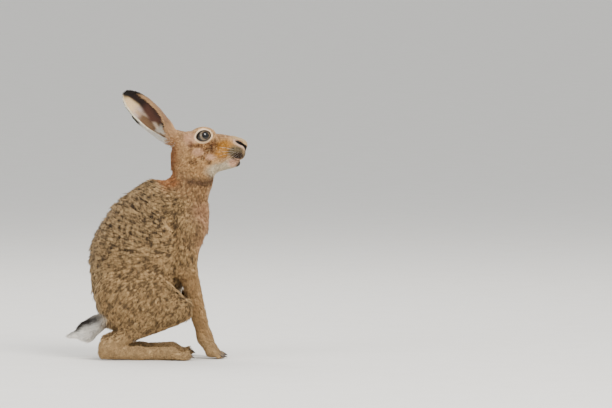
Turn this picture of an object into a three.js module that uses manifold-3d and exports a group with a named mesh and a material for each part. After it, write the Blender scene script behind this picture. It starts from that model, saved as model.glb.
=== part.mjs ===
// A brown hare at life size, sitting up on its haunches with its chin raised.
// Millimetres. +X is the way it faces, +Y its left side, +Z up, and z = 0 is the floor.
//
// Its flesh is one continuous body, described by a field that is negative inside it. The field blends the
// masses of the animal: skull, jaws, neck, trunk and limbs. Each named part is a meshed region of that
// body, parted from its neighbours by thin cuts. Ears, eyes, lids, tail and claws are built on their own.
import * as THREE from "three";
import { mergeVertices } from "three/addons/utils/BufferGeometryUtils.js";
import Module from "manifold-3d";

const wasm = await Module();
wasm.setup();

// Driving sizes of the animal
const gap = 0.3; // between parts that touch
const eyeRadius = 12;
const eyeCentre = new THREE.Vector3(53.5, 18.5, 355); // left eye; the right one is mirrored
const opening = { long: 11.2, high: 7.8, tilt: 14 }; // half sizes of the lids' opening, degrees
const clawLength = 11;

const left = 1;
const right = -1;
const sides = { left, right };

// Colours of the coat and bare parts
const coats = {
  back: new THREE.MeshStandardMaterial({ color: 0x8a6f4e, roughness: 0.95 }),
  face: new THREE.MeshStandardMaterial({ color: 0xb58a58, roughness: 0.95 }),
  rufous: new THREE.MeshStandardMaterial({ color: 0xa8703e, roughness: 0.95 }),
  pale: new THREE.MeshStandardMaterial({ color: 0xd9c8ab, roughness: 0.95 }),
  ear: new THREE.MeshStandardMaterial({ color: 0xa88a68, roughness: 0.9 }),
  tail: new THREE.MeshStandardMaterial({ color: 0xe8e2d6, roughness: 0.95 }),
  eye: new THREE.MeshStandardMaterial({ color: 0x4a3018, roughness: 0.1 }),
  claw: new THREE.MeshStandardMaterial({ color: 0x2e2620, roughness: 0.5 }),
};

// Fields: each takes a point and gives a rough signed distance in millimetres

function ellipsoid({ at, radii, pitch = 0, yaw = 0 }) {
  const turn = new THREE.Matrix4()
    .makeRotationFromEuler(
      new THREE.Euler(0, THREE.MathUtils.degToRad(-pitch), THREE.MathUtils.degToRad(yaw), "ZYX"),
    )
    .invert();
  const e = turn.elements;
  const [a, b, c] = radii;
  return (x, y, z) => {
    const dx = x - at[0];
    const dy = y - at[1];
    const dz = z - at[2];
    const u = (e[0] * dx + e[4] * dy + e[8] * dz) / a;
    const v = (e[1] * dx + e[5] * dy + e[9] * dz) / b;
    const w = (e[2] * dx + e[6] * dy + e[10] * dz) / c;
    const k0 = Math.hypot(u, v, w);
    const k1 = Math.hypot(u / a, v / b, w / c);
    return k1 > 0 ? (k0 * (k0 - 1)) / k1 : -Math.min(a, b, c);
  };
}

// A limb segment: a round bar whose radius runs from ra at a to rb at b
function bar(a, b, ra, rb) {
  const d = [b[0] - a[0], b[1] - a[1], b[2] - a[2]];
  const dd = d[0] * d[0] + d[1] * d[1] + d[2] * d[2];
  return (x, y, z) => {
    const px = x - a[0];
    const py = y - a[1];
    const pz = z - a[2];
    const t = THREE.MathUtils.clamp((px * d[0] + py * d[1] + pz * d[2]) / dd, 0, 1);
    return Math.hypot(px - t * d[0], py - t * d[1], pz - t * d[2]) - (ra + t * (rb - ra));
  };
}

// A trunk-like mass on the midline. Each station gives x, z, half its depth across the curve in the side
// view, and half its width along Y. The ends are domes.
function trunk(stations, startDome, endDome) {
  const curve = new THREE.CatmullRomCurve3(
    stations.map(([x, z]) => new THREE.Vector3(x, 0, z)),
    false,
    "centripetal",
  );
  const steps = 10 * (stations.length - 1);
  const rows = [];
  for (let i = 0; i <= steps; i++) {
    const u = i / steps;
    const at = curve.getPoint(u);
    const s = u * (stations.length - 1);
    const k = Math.min(Math.floor(s), stations.length - 2);
    const f = s - k;
    const ease = f * f * (3 - 2 * f) * 0.5 + f * 0.5;
    const depth = THREE.MathUtils.lerp(stations[k][2], stations[k + 1][2], ease);
    const width = THREE.MathUtils.lerp(stations[k][3], stations[k + 1][3], ease);
    rows.push([at.x, at.z, depth, width]);
  }
  return (x, y, z) => {
    let best = Infinity;
    let depth = 0;
    let width = 0;
    let along = 0;
    let across = 0;
    let dome = 1;
    for (let i = 0; i < steps; i++) {
      const [ax, az, ad, aw] = rows[i];
      const [bx, bz, bd, bw] = rows[i + 1];
      const ex = bx - ax;
      const ez = bz - az;
      const l2 = ex * ex + ez * ez;
      const raw = ((x - ax) * ex + (z - az) * ez) / l2;
      const t = raw < 0 ? 0 : raw > 1 ? 1 : raw;
      const qx = x - ax - t * ex;
      const qz = z - az - t * ez;
      const d2 = qx * qx + qz * qz;
      if (d2 < best) {
        best = d2;
        const l = Math.sqrt(l2);
        const past = (raw - t) * l;
        along = (i === 0 && raw < 0) || (i === steps - 1 && raw > 1) ? Math.abs(past) : 0;
        dome = raw < 0 ? startDome : endDome;
        across = (-(x - ax) * ez + (z - az) * ex) / l;
        depth = ad + t * (bd - ad);
        width = aw + t * (bw - aw);
      }
    }
    const k0 = Math.hypot(across / depth, y / width, along / dome);
    const k1 = Math.hypot(across / depth ** 2, y / width ** 2, along / dome ** 2);
    return k1 > 1e-9 ? (k0 * (k0 - 1)) / k1 : -Math.min(depth, width);
  };
}

// Smooth union: surfaces closer than k run into each other
function blend(k, ...fields) {
  return (x, y, z) => {
    let d = fields[0](x, y, z);
    for (let i = 1; i < fields.length; i++) {
      const e = fields[i](x, y, z);
      const h = Math.max(k - Math.abs(d - e), 0) / k;
      d = Math.min(d, e) - (h * h * k) / 4;
    }
    return d;
  };
}

// Smooth cut: takes the second field out of the first, with its edges rounded by k
function carve(k, field, hollow) {
  return (x, y, z) => {
    const d = field(x, y, z);
    const e = -hollow(x, y, z);
    const h = Math.max(k - Math.abs(d - e), 0) / k;
    return Math.max(d, e) + (h * h * k) / 4;
  };
}

// The same mass on both sides of the midline, described on the left
const paired = (field) => (x, y, z) => field(x, Math.abs(y), z);

// Head, with its bridge nearly level because the chin is raised
const skull = trunk(
  [
    [13, 331, 25, 23],
    [30, 328.5, 33.5, 28],
    [50, 328.5, 35.5, 29],
    [70, 330, 31.5, 26],
    [86, 333.5, 26, 21],
    [100, 336, 20.2, 17],
    [111, 335.8, 17, 13.5],
  ],
  10,
  10,
);
const lowerJaw = trunk(
  [
    [58, 308, 14, 20],
    [80, 309.5, 11, 15.5],
    [96, 311.5, 8.8, 11],
    [106, 313, 7.2, 8.5],
  ],
  12,
  7,
);
const cheek = ellipsoid({ at: [46, 16, 313], radii: [27, 16, 22] });
const orbit = ellipsoid({ at: [53.5, 17, 356], radii: [21, 13, 14.3] });
const lipPad = ellipsoid({ at: [106, 8.5, 328], radii: [14.5, 9.5, 11.5], pitch: -8 });
const nosePad = ellipsoid({ at: [116.5, 0, 340], radii: [7, 8, 8.5], pitch: -35 });
const earRoot = bar([32, 11, 345], [2, 15, 353.5], 15, 12.5);
const nostril = bar([107.5, 12.5, 348], [121.5, 4.5, 335.5], 1.6, 2.5);
const lipCleft = bar([125, 0, 333], [118, 0, 314], 1.6, 1.8);

const upperHead = blend(7, blend(10, skull, paired(cheek)), paired(orbit), paired(lipPad), nosePad);
const face = blend(3, upperHead, lowerJaw);
const head = carve(1.5, carve(2, blend(10, face, paired(earRoot)), paired(nostril)), lipCleft);

// Neck and trunk
const neck = trunk(
  [
    [38, 322, 30, 26],
    [38, 302, 34.5, 28],
    [36, 285, 35.5, 31],
    [28, 264, 38, 37],
    [22, 240, 43, 43],
    [16, 220, 48, 47],
  ],
  14,
  20,
);
const body = trunk(
  [
    [20, 251, 45, 42],
    [1, 233, 62, 51],
    [-27, 200, 81, 57],
    [-46, 159, 84.5, 61],
    [-54, 115, 75, 62],
    [-58, 82, 64, 58],
    [-60, 62, 50, 52],
  ],
  22,
  30,
);
const withers = ellipsoid({ at: [-22, 0, 247], radii: [44, 34, 40] });
const breast = ellipsoid({ at: [26, 0, 212], radii: [34, 38, 46] });
const shoulderBlade = bar([-6, 24, 246], [33, 35, 208], 22, 24);
const upperArm = bar([33, 36, 208], [25, 38, 142], 24, 18.5);
const elbow = [26, 38, 140];
const wrist = [55, 25, 34];
const forearm = bar(elbow, wrist, 17, 10.5);
const thigh = bar([-82, 36, 106], [8, 60, 84], 38, 25);
const thighMuscle = ellipsoid({ at: [-44, 54, 90], radii: [62, 30, 52] });
const shank = bar([8, 60, 80], [-102, 56, 24], 22, 12.5);
const tailBend = [-134, 0, 41];
const tail = blend(8, bar([-104, 0, 62], tailBend, 17, 18), bar(tailBend, [-159, 0, 35], 18.5, 13));

// Feet: long soles behind, short paws in front, each with its row of toes
const toesPerFoot = 4;
const heel = [-106, 57, 12.5];
const arch = [-50, 57, 10.5];
const ball = [2, 59, 10.5];
const knuckles = [66, 24, 12.5];
const hindToe = { from: ball, length: 27, radius: 6.8, spread: 24, fan: 5 };
const foreToe = { from: knuckles, length: 16, radius: 5.4, spread: 19, fan: 5 };

function toeLine({ from, length, radius, spread, fan }, i) {
  const place = i / (toesPerFoot - 1) - 0.5;
  const reach = length * (1 - 1.1 * place * place);
  const start = [from[0], from[1] + place * spread, from[2]];
  const end = [from[0] + reach, from[1] + place * (spread + fan), radius * 0.8];
  return [start, end];
}
function toes(shape) {
  const row = [];
  for (let i = 0; i < toesPerFoot; i++) {
    row.push(bar(...toeLine(shape, i), shape.radius * 1.1, shape.radius));
  }
  return blend(2.5, ...row);
}
const hindFoot = blend(9, bar(heel, arch, 12.5, 11), bar(arch, ball, 11, 12), toes(hindToe));
const forePaw = blend(7, bar(wrist, knuckles, 11, 11), toes(foreToe));

const foreleg = paired(blend(10, forearm, forePaw));
const hindleg = paired(blend(12, shank, hindFoot));
const hare = blend(
  12,
  blend(12, neck, head),
  blend(20, body, withers, breast),
  blend(14, paired(shoulderBlade), paired(upperArm)),
  blend(18, paired(thigh), paired(thighMuscle), paired(shank)),
);

// Meshing: surface nets over a box, with each vertex drawn onto the field's zero. Fine cells where the
// shape is small: the edge of a cell of each part, in millimetres.
const cells = {
  head: 6.2,
  muzzle: 3.3,
  jaw: 4,
  neck: 10,
  torso: 16,
  tail: 8.5,
  upperForeleg: 12,
  forearm: 9.5,
  paw: 5.3,
  thigh: 14.5,
  hindFoot: 6.4,
};
function slope(field, x, y, z) {
  const e = 0.05;
  return [
    (field(x + e, y, z) - field(x - e, y, z)) / (2 * e),
    (field(x, y + e, z) - field(x, y - e, z)) / (2 * e),
    (field(x, y, z + e) - field(x, y, z - e)) / (2 * e),
  ];
}

// Corners of a cell, numbered by bits x, y, z; its edges; and its faces with their corners in a ring
const cellCorners = [];
for (let c = 0; c < 8; c++) cellCorners.push([c & 1, (c >> 1) & 1, (c >> 2) & 1]);
const cellEdges = [];
for (let a = 0; a < 8; a++)
  for (const bit of [1, 2, 4]) if (!(a & bit)) cellEdges.push([a, a | bit]);
const cellFaces = [];
for (const [u, v, w] of [[1, 2, 4], [2, 4, 1], [4, 1, 2]])
  for (const base of [0, w]) cellFaces.push([base, base | u, base | u | v, base | v]);
const edgeNumber = (a, b) =>
  cellEdges.findIndex(([c, d]) => (c === a && d === b) || (c === b && d === a));
const faceEdges = cellFaces.map((ring) => ring.map((corner, i) => edgeNumber(corner, ring[(i + 1) % 4])));

// Sorts the crossed edges of a cell into sheets: one for each piece of surface that passes through it
function sheets(inside) {
  const sheet = cellEdges.map(([a, b], i) => (inside[a] !== inside[b] ? i : -1));
  const join = (p, q) => {
    const [from, to] = [sheet[p], sheet[q]];
    for (let i = 0; i < sheet.length; i++) if (sheet[i] === from) sheet[i] = to;
  };
  for (let f = 0; f < cellFaces.length; f++) {
    const crossed = faceEdges[f].filter((e) => sheet[e] >= 0);
    if (crossed.length === 2) join(crossed[0], crossed[1]);
    if (crossed.length === 4)
      for (let i = 0; i < 4; i++)
        if (inside[cellFaces[f][i]]) join(faceEdges[f][(i + 3) % 4], faceEdges[f][i]);
  }
  return sheet;
}

// Gives the mesh and the same mesh swollen by the gap, which clears a neighbour
function meshField(field, box, cell) {
  const size = box.getSize(new THREE.Vector3());
  const n = [size.x, size.y, size.z].map((s) => Math.ceil(s / cell) + 3);
  const origin = box.min.clone().addScalar(-cell);
  const index = (i, j, k) => i + n[0] * (j + n[1] * k);
  const values = new Float64Array(n[0] * n[1] * n[2]);
  for (let k = 0; k < n[2]; k++)
    for (let j = 0; j < n[1]; j++)
      for (let i = 0; i < n[0]; i++) {
        const d = field(origin.x + i * cell, origin.y + j * cell, origin.z + k * cell);
        const wall = [i, j, k].some((m, axis) => m === 0 || m === n[axis] - 1);
        values[index(i, j, k)] = wall ? Math.max(d, cell / 2) : d;
      }
  const flattest = 0.1; // least squared slope, where masses run together
  const points = [];
  const swollen = [];
  const edgePoints = new Map();
  for (let k = 0; k < n[2] - 1; k++)
    for (let j = 0; j < n[1] - 1; j++)
      for (let i = 0; i < n[0] - 1; i++) {
        const v = cellCorners.map(([a, b, c]) => values[index(i + a, j + b, k + c)]);
        const inside = v.map((d) => d < 0);
        if (inside.every((is) => is === inside[0])) continue;
        const sheet = sheets(inside);
        for (const s of new Set(sheet.filter((e) => e >= 0))) {
          const sum = [0, 0, 0];
          let crossings = 0;
          sheet.forEach((e, number) => {
            if (e !== s) return;
            const [a, b] = cellEdges[number];
            const t = v[a] / (v[a] - v[b]);
            for (let axis = 0; axis < 3; axis++)
              sum[axis] += cellCorners[a][axis] + t * (cellCorners[b][axis] - cellCorners[a][axis]);
            crossings++;
          });
          const spot = [i, j, k].map((m, axis) => m + sum[axis] / crossings);
          const p = spot.map((m, axis) => origin.getComponent(axis) + m * cell);
          const inner = [i, j, k].every((m, axis) => m > 0 && m < n[axis] - 2);
          let out = [0, 0, 0];
          for (let pass = 0; pass < 3; pass++) {
            const d = field(...p);
            const g = slope(field, ...p);
            const g2 = Math.max(g[0] ** 2 + g[1] ** 2 + g[2] ** 2, flattest);
            out = g.map((c) => c / Math.sqrt(g2));
            const limit = 0.35 * cell;
            if (inner)
              for (let axis = 0; axis < 3; axis++)
                p[axis] -= THREE.MathUtils.clamp((d * g[axis]) / g2, -limit, limit);
          }
          sheet.forEach((e, number) => {
            if (e === s) edgePoints.set(index(i, j, k) * 12 + number, points.length / 3);
          });
          points.push(...p);
          swollen.push(...p.map((c, axis) => c + gap * out[axis]));
        }
      }
  const faces = [];
  const axes = [[1, 0, 0], [0, 1, 0], [0, 0, 1]];
  for (let axis = 0; axis < 3; axis++) {
    const u = axes[(axis + 1) % 3];
    const v = axes[(axis + 2) % 3];
    const ends = axes[axis];
    for (let k = u[2] || v[2] ? 1 : 0; k < n[2] - 1; k++)
      for (let j = u[1] || v[1] ? 1 : 0; j < n[1] - 1; j++)
        for (let i = u[0] || v[0] ? 1 : 0; i < n[0] - 1; i++) {
          const inside = values[index(i, j, k)] < 0;
          if (inside === values[index(i + ends[0], j + ends[1], k + ends[2])] < 0) continue;
          const round = [[1, 1], [0, 1], [0, 0], [1, 0]].map(([a, b]) => {
            const back = [0, 1, 2].map((m) => a * u[m] + b * v[m]);
            const low = back[0] | (back[1] << 1) | (back[2] << 2);
            const cellIndex = index(i - back[0], j - back[1], k - back[2]);
            return edgePoints.get(cellIndex * 12 + edgeNumber(low, low | (1 << axis)));
          });
          const [a, b, c, d] = round;
          if (inside) faces.push(a, b, c, a, c, d);
          else faces.push(a, c, b, a, d, c);
        }
  }
  const geometry = (list) => {
    const position = new THREE.Float32BufferAttribute(list, 3);
    return new THREE.BufferGeometry().setAttribute("position", position).setIndex(faces);
  };
  return { exact: geometry(points), swollen: geometry(swollen) };
}

// Solids: three.js geometry to manifold-3d and back
function solid(geometry) {
  const bare = geometry.clone();
  bare.deleteAttribute("normal");
  bare.deleteAttribute("uv");
  const merged = mergeVertices(bare, 1e-4);
  return new wasm.Manifold(
    new wasm.Mesh({
      numProp: 3,
      vertProperties: new Float32Array(merged.attributes.position.array),
      triVerts: new Uint32Array(merged.index.array),
    }),
  );
}

// A solid from points and triangles, turned the right way out
function solidFrom(points, faces) {
  const geometry = new THREE.BufferGeometry()
    .setAttribute("position", new THREE.Float32BufferAttribute(points, 3))
    .setIndex(faces);
  const made = solid(geometry);
  if (made.volume() > 0) return made;
  const turned = [];
  for (let i = 0; i < faces.length; i += 3) turned.push(faces[i], faces[i + 2], faces[i + 1]);
  return solid(geometry.setIndex(turned));
}

function largest(made) {
  return made.decompose().sort((a, b) => b.volume() - a.volume())[0];
}

function geometryOf(made) {
  const mesh = made.getMesh();
  const points = new Float32Array(mesh.numVert * 3);
  for (let i = 0; i < mesh.numVert; i++)
    points.set(mesh.vertProperties.subarray(i * mesh.numProp, i * mesh.numProp + 3), i * 3);
  return new THREE.BufferGeometry()
    .setAttribute("position", new THREE.BufferAttribute(points, 3))
    .setIndex(new THREE.BufferAttribute(new Uint32Array(mesh.triVerts), 1));
}

// Everything on the side of a plane that its normal points to, from `lift` beyond the plane
const farAway = 900;
function beyond(point, normal, lift = gap / 2) {
  const n = new THREE.Vector3(...normal).normalize();
  const box = new THREE.BoxGeometry(farAway, farAway, farAway).translate(0, 0, farAway / 2 + lift);
  box.applyQuaternion(new THREE.Quaternion().setFromUnitVectors(new THREE.Vector3(0, 0, 1), n));
  return solid(box.translate(...point));
}
const above = (cut) => beyond(cut.at, cut.normal);
const below = (cut) => beyond(cut.at, cut.normal.map((c) => -c));

// A region drawn in the side view and extended across the whole width, grown outwards by `grow`
function sideRegion(outline, grow) {
  const ring = new THREE.CatmullRomCurve3(outline.map(([x, z]) => new THREE.Vector3(x, z, 0)), true);
  const count = 36;
  const ahead = ring.getPoints(count).slice(0, count);
  const grown = ahead.map((p, i) => {
    const side = ahead[(i + 1) % count].clone().sub(ahead[(i + count - 1) % count]).normalize();
    return new THREE.Vector2(p.x + side.y * grow, p.y - side.x * grow);
  });
  const width = 200;
  const prism = new THREE.ExtrudeGeometry(new THREE.Shape(grown), { depth: width, bevelEnabled: false });
  return solid(prism.translate(0, 0, -width / 2).rotateX(Math.PI / 2));
}

// An oval region, grown outwards by `grow`
function ovalRegion({ at, radii, pitch }, grow) {
  const oval = new THREE.SphereGeometry(1, 16, 11).scale(...radii.map((r) => r + grow));
  oval.rotateY(THREE.MathUtils.degToRad(-pitch));
  return solid(oval.translate(...at));
}

// A meshed piece of a field, kept inside each solid of `within` and outside each of `without`
const boxOf = (low, high) => new THREE.Box3(new THREE.Vector3(...low), new THREE.Vector3(...high));
function flesh(field, cell, [low, high], within, without = []) {
  let made = solid(meshField(field, boxOf(low, high), cell).exact);
  for (const region of within) made = made.intersect(region);
  for (const region of without) made = made.subtract(region);
  return largest(made);
}
// The same mesh, uncut and swollen by the gap, to clear it from a neighbour
function clearance(field, cell, [low, high]) {
  return solid(meshField(field, boxOf(low, high), cell).swollen);
}

const parts = new Map();
const add = (name, made, material) => parts.set(name, { made, material });

// Partings, each a point and a normal, or an oval; those off the midline are on the left side
const headOutline = [
  [-14, 342],
  [-6, 328],
  [12, 305],
  [34, 290],
  [58, 285],
  [76, 291],
  [110, 288],
  [150, 300],
  [160, 350],
  [120, 385],
  [40, 392],
  [-18, 378],
];
const muzzleRoot = { at: [90, 0, 330], normal: [1, 0, 0.08] };
const mouth = { at: [106, 0, 319], normal: [0.26, 0, 1] };
const neckRoot = { at: [30, 0, 264], normal: [0.5, 0, 0.87] };
const elbowCut = { at: [26, 38, 132], normal: [-0.25, 0, 1] };
const wristCut = { at: [55, 25, 36], normal: [-0.35, 0, 1] };
const hockCut = { at: [-60, 0, 25.5], normal: [0, 0, 1] };
const shoulderOval = { at: [24, 60, 182], radii: [36, 34, 62], pitch: 0 };
const haunchOval = { at: [-42, 82, 80], radii: [92, 54, 84], pitch: 8 };
const onSide = (side, oval) => ({ ...oval, at: [oval.at[0], oval.at[1] * side, oval.at[2]] });
const floorUp = beyond([0, 0, 0], [0, 0, 1], 0);

// Eyes and eyelids. The eye looks outwards and a little forwards and up.
const gaze = new THREE.Vector3(0.1, 1, 0.2).normalize();
const lidTilt = THREE.MathUtils.degToRad(opening.tilt);
const forward = new THREE.Vector3(Math.cos(lidTilt), 0, Math.sin(lidTilt));
forward.addScaledVector(gaze, -forward.dot(gaze)).normalize();
const upward = new THREE.Vector3().crossVectors(forward, gaze).normalize();

function eyeball(side, grow = 0) {
  const ball = new THREE.SphereGeometry(eyeRadius + grow, 14, 10);
  return solid(ball.translate(eyeCentre.x, eyeCentre.y * side, eyeCentre.z));
}

// The lids' opening: an almond, pointed a little at both corners
function openingPoint(angle, scale = 1) {
  const pinch = 1 - 0.12 * Math.cos(angle) ** 2 * Math.abs(Math.cos(angle));
  return new THREE.Vector3()
    .addScaledVector(forward, opening.long * scale * Math.cos(angle))
    .addScaledVector(upward, opening.high * scale * pinch * Math.sin(angle));
}

// A rolled rim that follows the opening on the eyeball
function eyelids(side, grow = 0) {
  const steps = 18;
  const ring = 5;
  const rim = { wide: 2.2, thick: 1.9, follow: 0.72 };
  const points = [];
  for (let i = 0; i < steps; i++) {
    const spread = openingPoint((i / steps) * 2 * Math.PI);
    const outward = spread.clone().normalize();
    spread.addScaledVector(outward, rim.wide);
    const rise = Math.sqrt((eyeRadius + 1.6) ** 2 - rim.follow * spread.lengthSq());
    const centre = eyeCentre.clone().add(spread).addScaledVector(gaze, rise);
    for (let j = 0; j < ring; j++) {
      const b = (j / ring) * 2 * Math.PI;
      const p = centre
        .clone()
        .addScaledVector(outward, (rim.wide + grow) * Math.cos(b))
        .addScaledVector(gaze, (rim.thick + grow) * Math.sin(b));
      points.push(p.x, p.y * side, p.z);
    }
  }
  const faces = [];
  for (let i = 0; i < steps; i++)
    for (let j = 0; j < ring; j++) {
      const a = i * ring + j;
      const b = i * ring + ((j + 1) % ring);
      const c = ((i + 1) % steps) * ring + j;
      const d = ((i + 1) % steps) * ring + ((j + 1) % ring);
      faces.push(a, c, b, b, c, d);
    }
  return solidFrom(points, faces);
}

// The room in front of the eyeball, inside the lids
function eyeWindow(side) {
  const steps = 18;
  const reach = 30;
  const points = [];
  for (const depth of [2, reach])
    for (let i = 0; i < steps; i++) {
      const p = openingPoint((i / steps) * 2 * Math.PI, 1.1);
      p.add(eyeCentre).addScaledVector(gaze, depth);
      points.push(p.x, p.y * side, p.z);
    }
  const faces = [];
  for (let i = 0; i < steps; i++) {
    const next = (i + 1) % steps;
    faces.push(i, next, steps + i, next, steps + next, steps + i);
    if (i > 0 && i < steps - 1) faces.push(0, i + 1, i, steps, steps + i, steps + i + 1);
  }
  return solidFrom(points, faces);
}

// Ears: a cupped leaf on a short stem, from its root in the head to its tip
const ears = {
  right: { root: [2, -15, 354.5], tip: [-72, -30, 426], faces: [-0.12, -1, -0.2] },
  left: { root: [2, 15, 351], tip: [-60, 46, 397], faces: [-0.4, 1, -0.6] },
};
const earWall = 2.2;
const earHalfWidth = [[0, 12], [0.2, 16.5], [0.42, 19.5], [0.65, 19.5], [0.82, 16.5], [0.93, 11.5], [1, 5]];
const earDepth = [[0, 11], [0.2, 12], [0.5, 12], [0.8, 8], [1, 2.5]];
// Degrees either side of its back
const earWrap = [[0, 165], [0.15, 145], [0.35, 116], [0.7, 100], [1, 84]];
const earCup = [[0, 0], [0.12, 0], [0.3, 0.92], [0.5, 1], [1, 1]]; // 0 filled, 1 hollow

function earFrame({ root, tip, faces }) {
  const from = new THREE.Vector3(...root);
  const to = new THREE.Vector3(...tip);
  const length = from.distanceTo(to);
  const along = to.clone().sub(from).normalize();
  const open = new THREE.Vector3(...faces);
  open.addScaledVector(along, -open.dot(along)).normalize();
  const across = new THREE.Vector3().crossVectors(along, open);
  return { from, along, open, across, length };
}

const profile = (rows, t) => {
  let k = 0;
  while (k < rows.length - 2 && t > rows[k + 1][0]) k++;
  const f = (t - rows[k][0]) / (rows[k + 1][0] - rows[k][0]);
  const ease = f * f * (3 - 2 * f) * 0.5 + f * 0.5;
  return THREE.MathUtils.lerp(rows[k][1], rows[k + 1][1], ease);
};

function ear(shape) {
  const { from, along, open, across, length } = earFrame(shape);
  const stations = 14;
  const arc = 8;
  const ring = 2 * (arc + 1);
  const points = [];
  for (let i = 0; i <= stations; i++) {
    const t = 1 - (1 - i / stations) ** 1.25;
    const w = profile(earHalfWidth, t);
    const d = profile(earDepth, t);
    const wrap = THREE.MathUtils.degToRad(profile(earWrap, t));
    const cup = profile(earCup, t);
    const skin = Math.min(earWall, w * 0.4, d * 0.4);
    const bow = 5 * Math.sin(Math.PI * t);
    const centre = from.clone().addScaledVector(along, gap / 2 + t * length).addScaledVector(open, -bow);
    const place = (u, v) => {
      const p = centre.clone().addScaledVector(across, u).addScaledVector(open, v);
      points.push(p.x, p.y, p.z);
    };
    for (let j = 0; j <= arc; j++) {
      const a = THREE.MathUtils.lerp(-wrap, wrap, j / arc);
      place(w * Math.sin(a), -d * Math.cos(a));
    }
    for (let j = arc; j >= 0; j--) {
      const a = THREE.MathUtils.lerp(-wrap, wrap, j / arc) * 0.94;
      const hollow = [(w - skin) * Math.sin(a), -(d - skin) * Math.cos(a)];
      const filled = [w * 0.98 * Math.sin(wrap) * (2 * (j / arc) - 1), -d * Math.cos(wrap) + 0.15];
      const [u, v] = filled.map((value, axis) => THREE.MathUtils.lerp(value, hollow[axis], cup));
      place(u, v);
    }
  }
  const faces = [];
  const at = (i, j) => i * ring + (j % ring);
  for (let i = 0; i < stations; i++)
    for (let j = 0; j < ring; j++) {
      const [a, b, c, d] = [at(i, j), at(i, j + 1), at(i + 1, j), at(i + 1, j + 1)];
      if (j <= arc) faces.push(a, b, c, b, d, c);
      else faces.push(a, b, d, a, d, c);
    }
  for (const [i, flip] of [[0, false], [stations, true]])
    for (let j = 0; j < arc; j++) {
      const [a, b] = [at(i, j), at(i, j + 1)];
      const [c, d] = [at(i, ring - 1 - j), at(i, ring - 2 - j)];
      if (flip) faces.push(a, b, c, b, d, c);
      else faces.push(a, c, b, b, c, d);
    }
  return solidFrom(points, faces);
}

// The room beyond the root of an ear, which the head leaves free
function earRoom(shape) {
  const { from, along } = earFrame(shape);
  const [radius, length] = [26, 80];
  const room = new THREE.CylinderGeometry(radius, radius, length, 12).rotateX(Math.PI / 2);
  room.translate(0, 0, (length - gap) / 2);
  room.applyQuaternion(new THREE.Quaternion().setFromUnitVectors(new THREE.Vector3(0, 0, 1), along));
  return solid(room.translate(from.x, from.y, from.z));
}

// A claw at the end of a toe, its root sunk in the toe
function claw(shape, i, side) {
  const [start, end] = toeLine(shape, i);
  const droop = 0.4;
  const [thick, faces] = [2.1, 5];
  const heading = Math.atan2(end[1] - start[1], end[0] - start[0]) * side;
  const horn = new THREE.ConeGeometry(thick, clawLength, faces);
  horn.rotateZ(-Math.PI / 2 - droop).rotateX(Math.PI / 2).rotateZ(heading);
  return solid(horn.translate(end[0] + shape.radius * 0.95, end[1] * side, end[2] + 0.6));
}

// The head parts: skull, muzzle and jaw meet at the parting planes, and the neck outside the head's outline
const eyeRooms = [];
for (const side of [left, right]) {
  eyeRooms.push(eyeball(side, gap), eyelids(side, gap), eyeWindow(side));
}
const earRooms = Object.values(ears).map(earRoom);
const inHead = sideRegion(headOutline, -gap / 2);
const outOfHead = sideRegion(headOutline, gap / 2);
const boxes = {
  head: [[-20, -45, 270], [100, 45, 380]],
  muzzle: [[84, -26, 300], [130, 26, 366]],
  jaw: [[84, -22, 296], [122, 22, 330]],
  neck: [[-60, -70, 225], [110, 70, 345]],
  torso: [[-150, -100, 15], [110, 100, 300]],
  tail: [[-190, -34, 0], [-80, 34, 90]],
};
const headRooms = [...eyeRooms, ...earRooms];
const skullPiece = flesh(hare, cells.head, boxes.head, [inHead, below(muzzleRoot)], headRooms);
const muzzlePiece = flesh(hare, cells.muzzle, boxes.muzzle, [above(muzzleRoot), above(mouth)]);
const jawPiece = flesh(hare, cells.jaw, boxes.jaw, [above(muzzleRoot), below(mouth)]);
add("head", skullPiece, coats.face);
add("muzzle", muzzlePiece, coats.face);
add("lower_jaw", jawPiece, coats.pale);
add("neck", flesh(hare, cells.neck, boxes.neck, [above(neckRoot)], [outOfHead]), coats.rufous);

// The trunk leaves room for the forearms and the ovals in which the limbs lie, and the tail clears it
const onSideBox = (side, x0, z0, x1, z1, inner = 0, outer = 110) => {
  const [y0, y1] = side > 0 ? [inner, outer] : [-outer, -inner];
  return [[x0, y0, z0], [x1, y1, z1]];
};
const forearmBox = (side) => onSideBox(side, 0, -4, 110, 165, 4, 70);
const rooms = [left, right].map((side) => clearance(foreleg, cells.forearm, forearmBox(side)));
for (const side of [left, right])
  for (const oval of [shoulderOval, haunchOval]) {
    rooms.push(ovalRegion(onSide(side, oval), gap / 2));
  }
add("torso", flesh(hare, cells.torso, boxes.torso, [below(neckRoot), above(hockCut)], rooms), coats.back);
const trunkRoom = clearance(hare, cells.torso, boxes.torso);
add("tail", flesh(tail, cells.tail, boxes.tail, [], [trunkRoom]), coats.tail);

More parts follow.
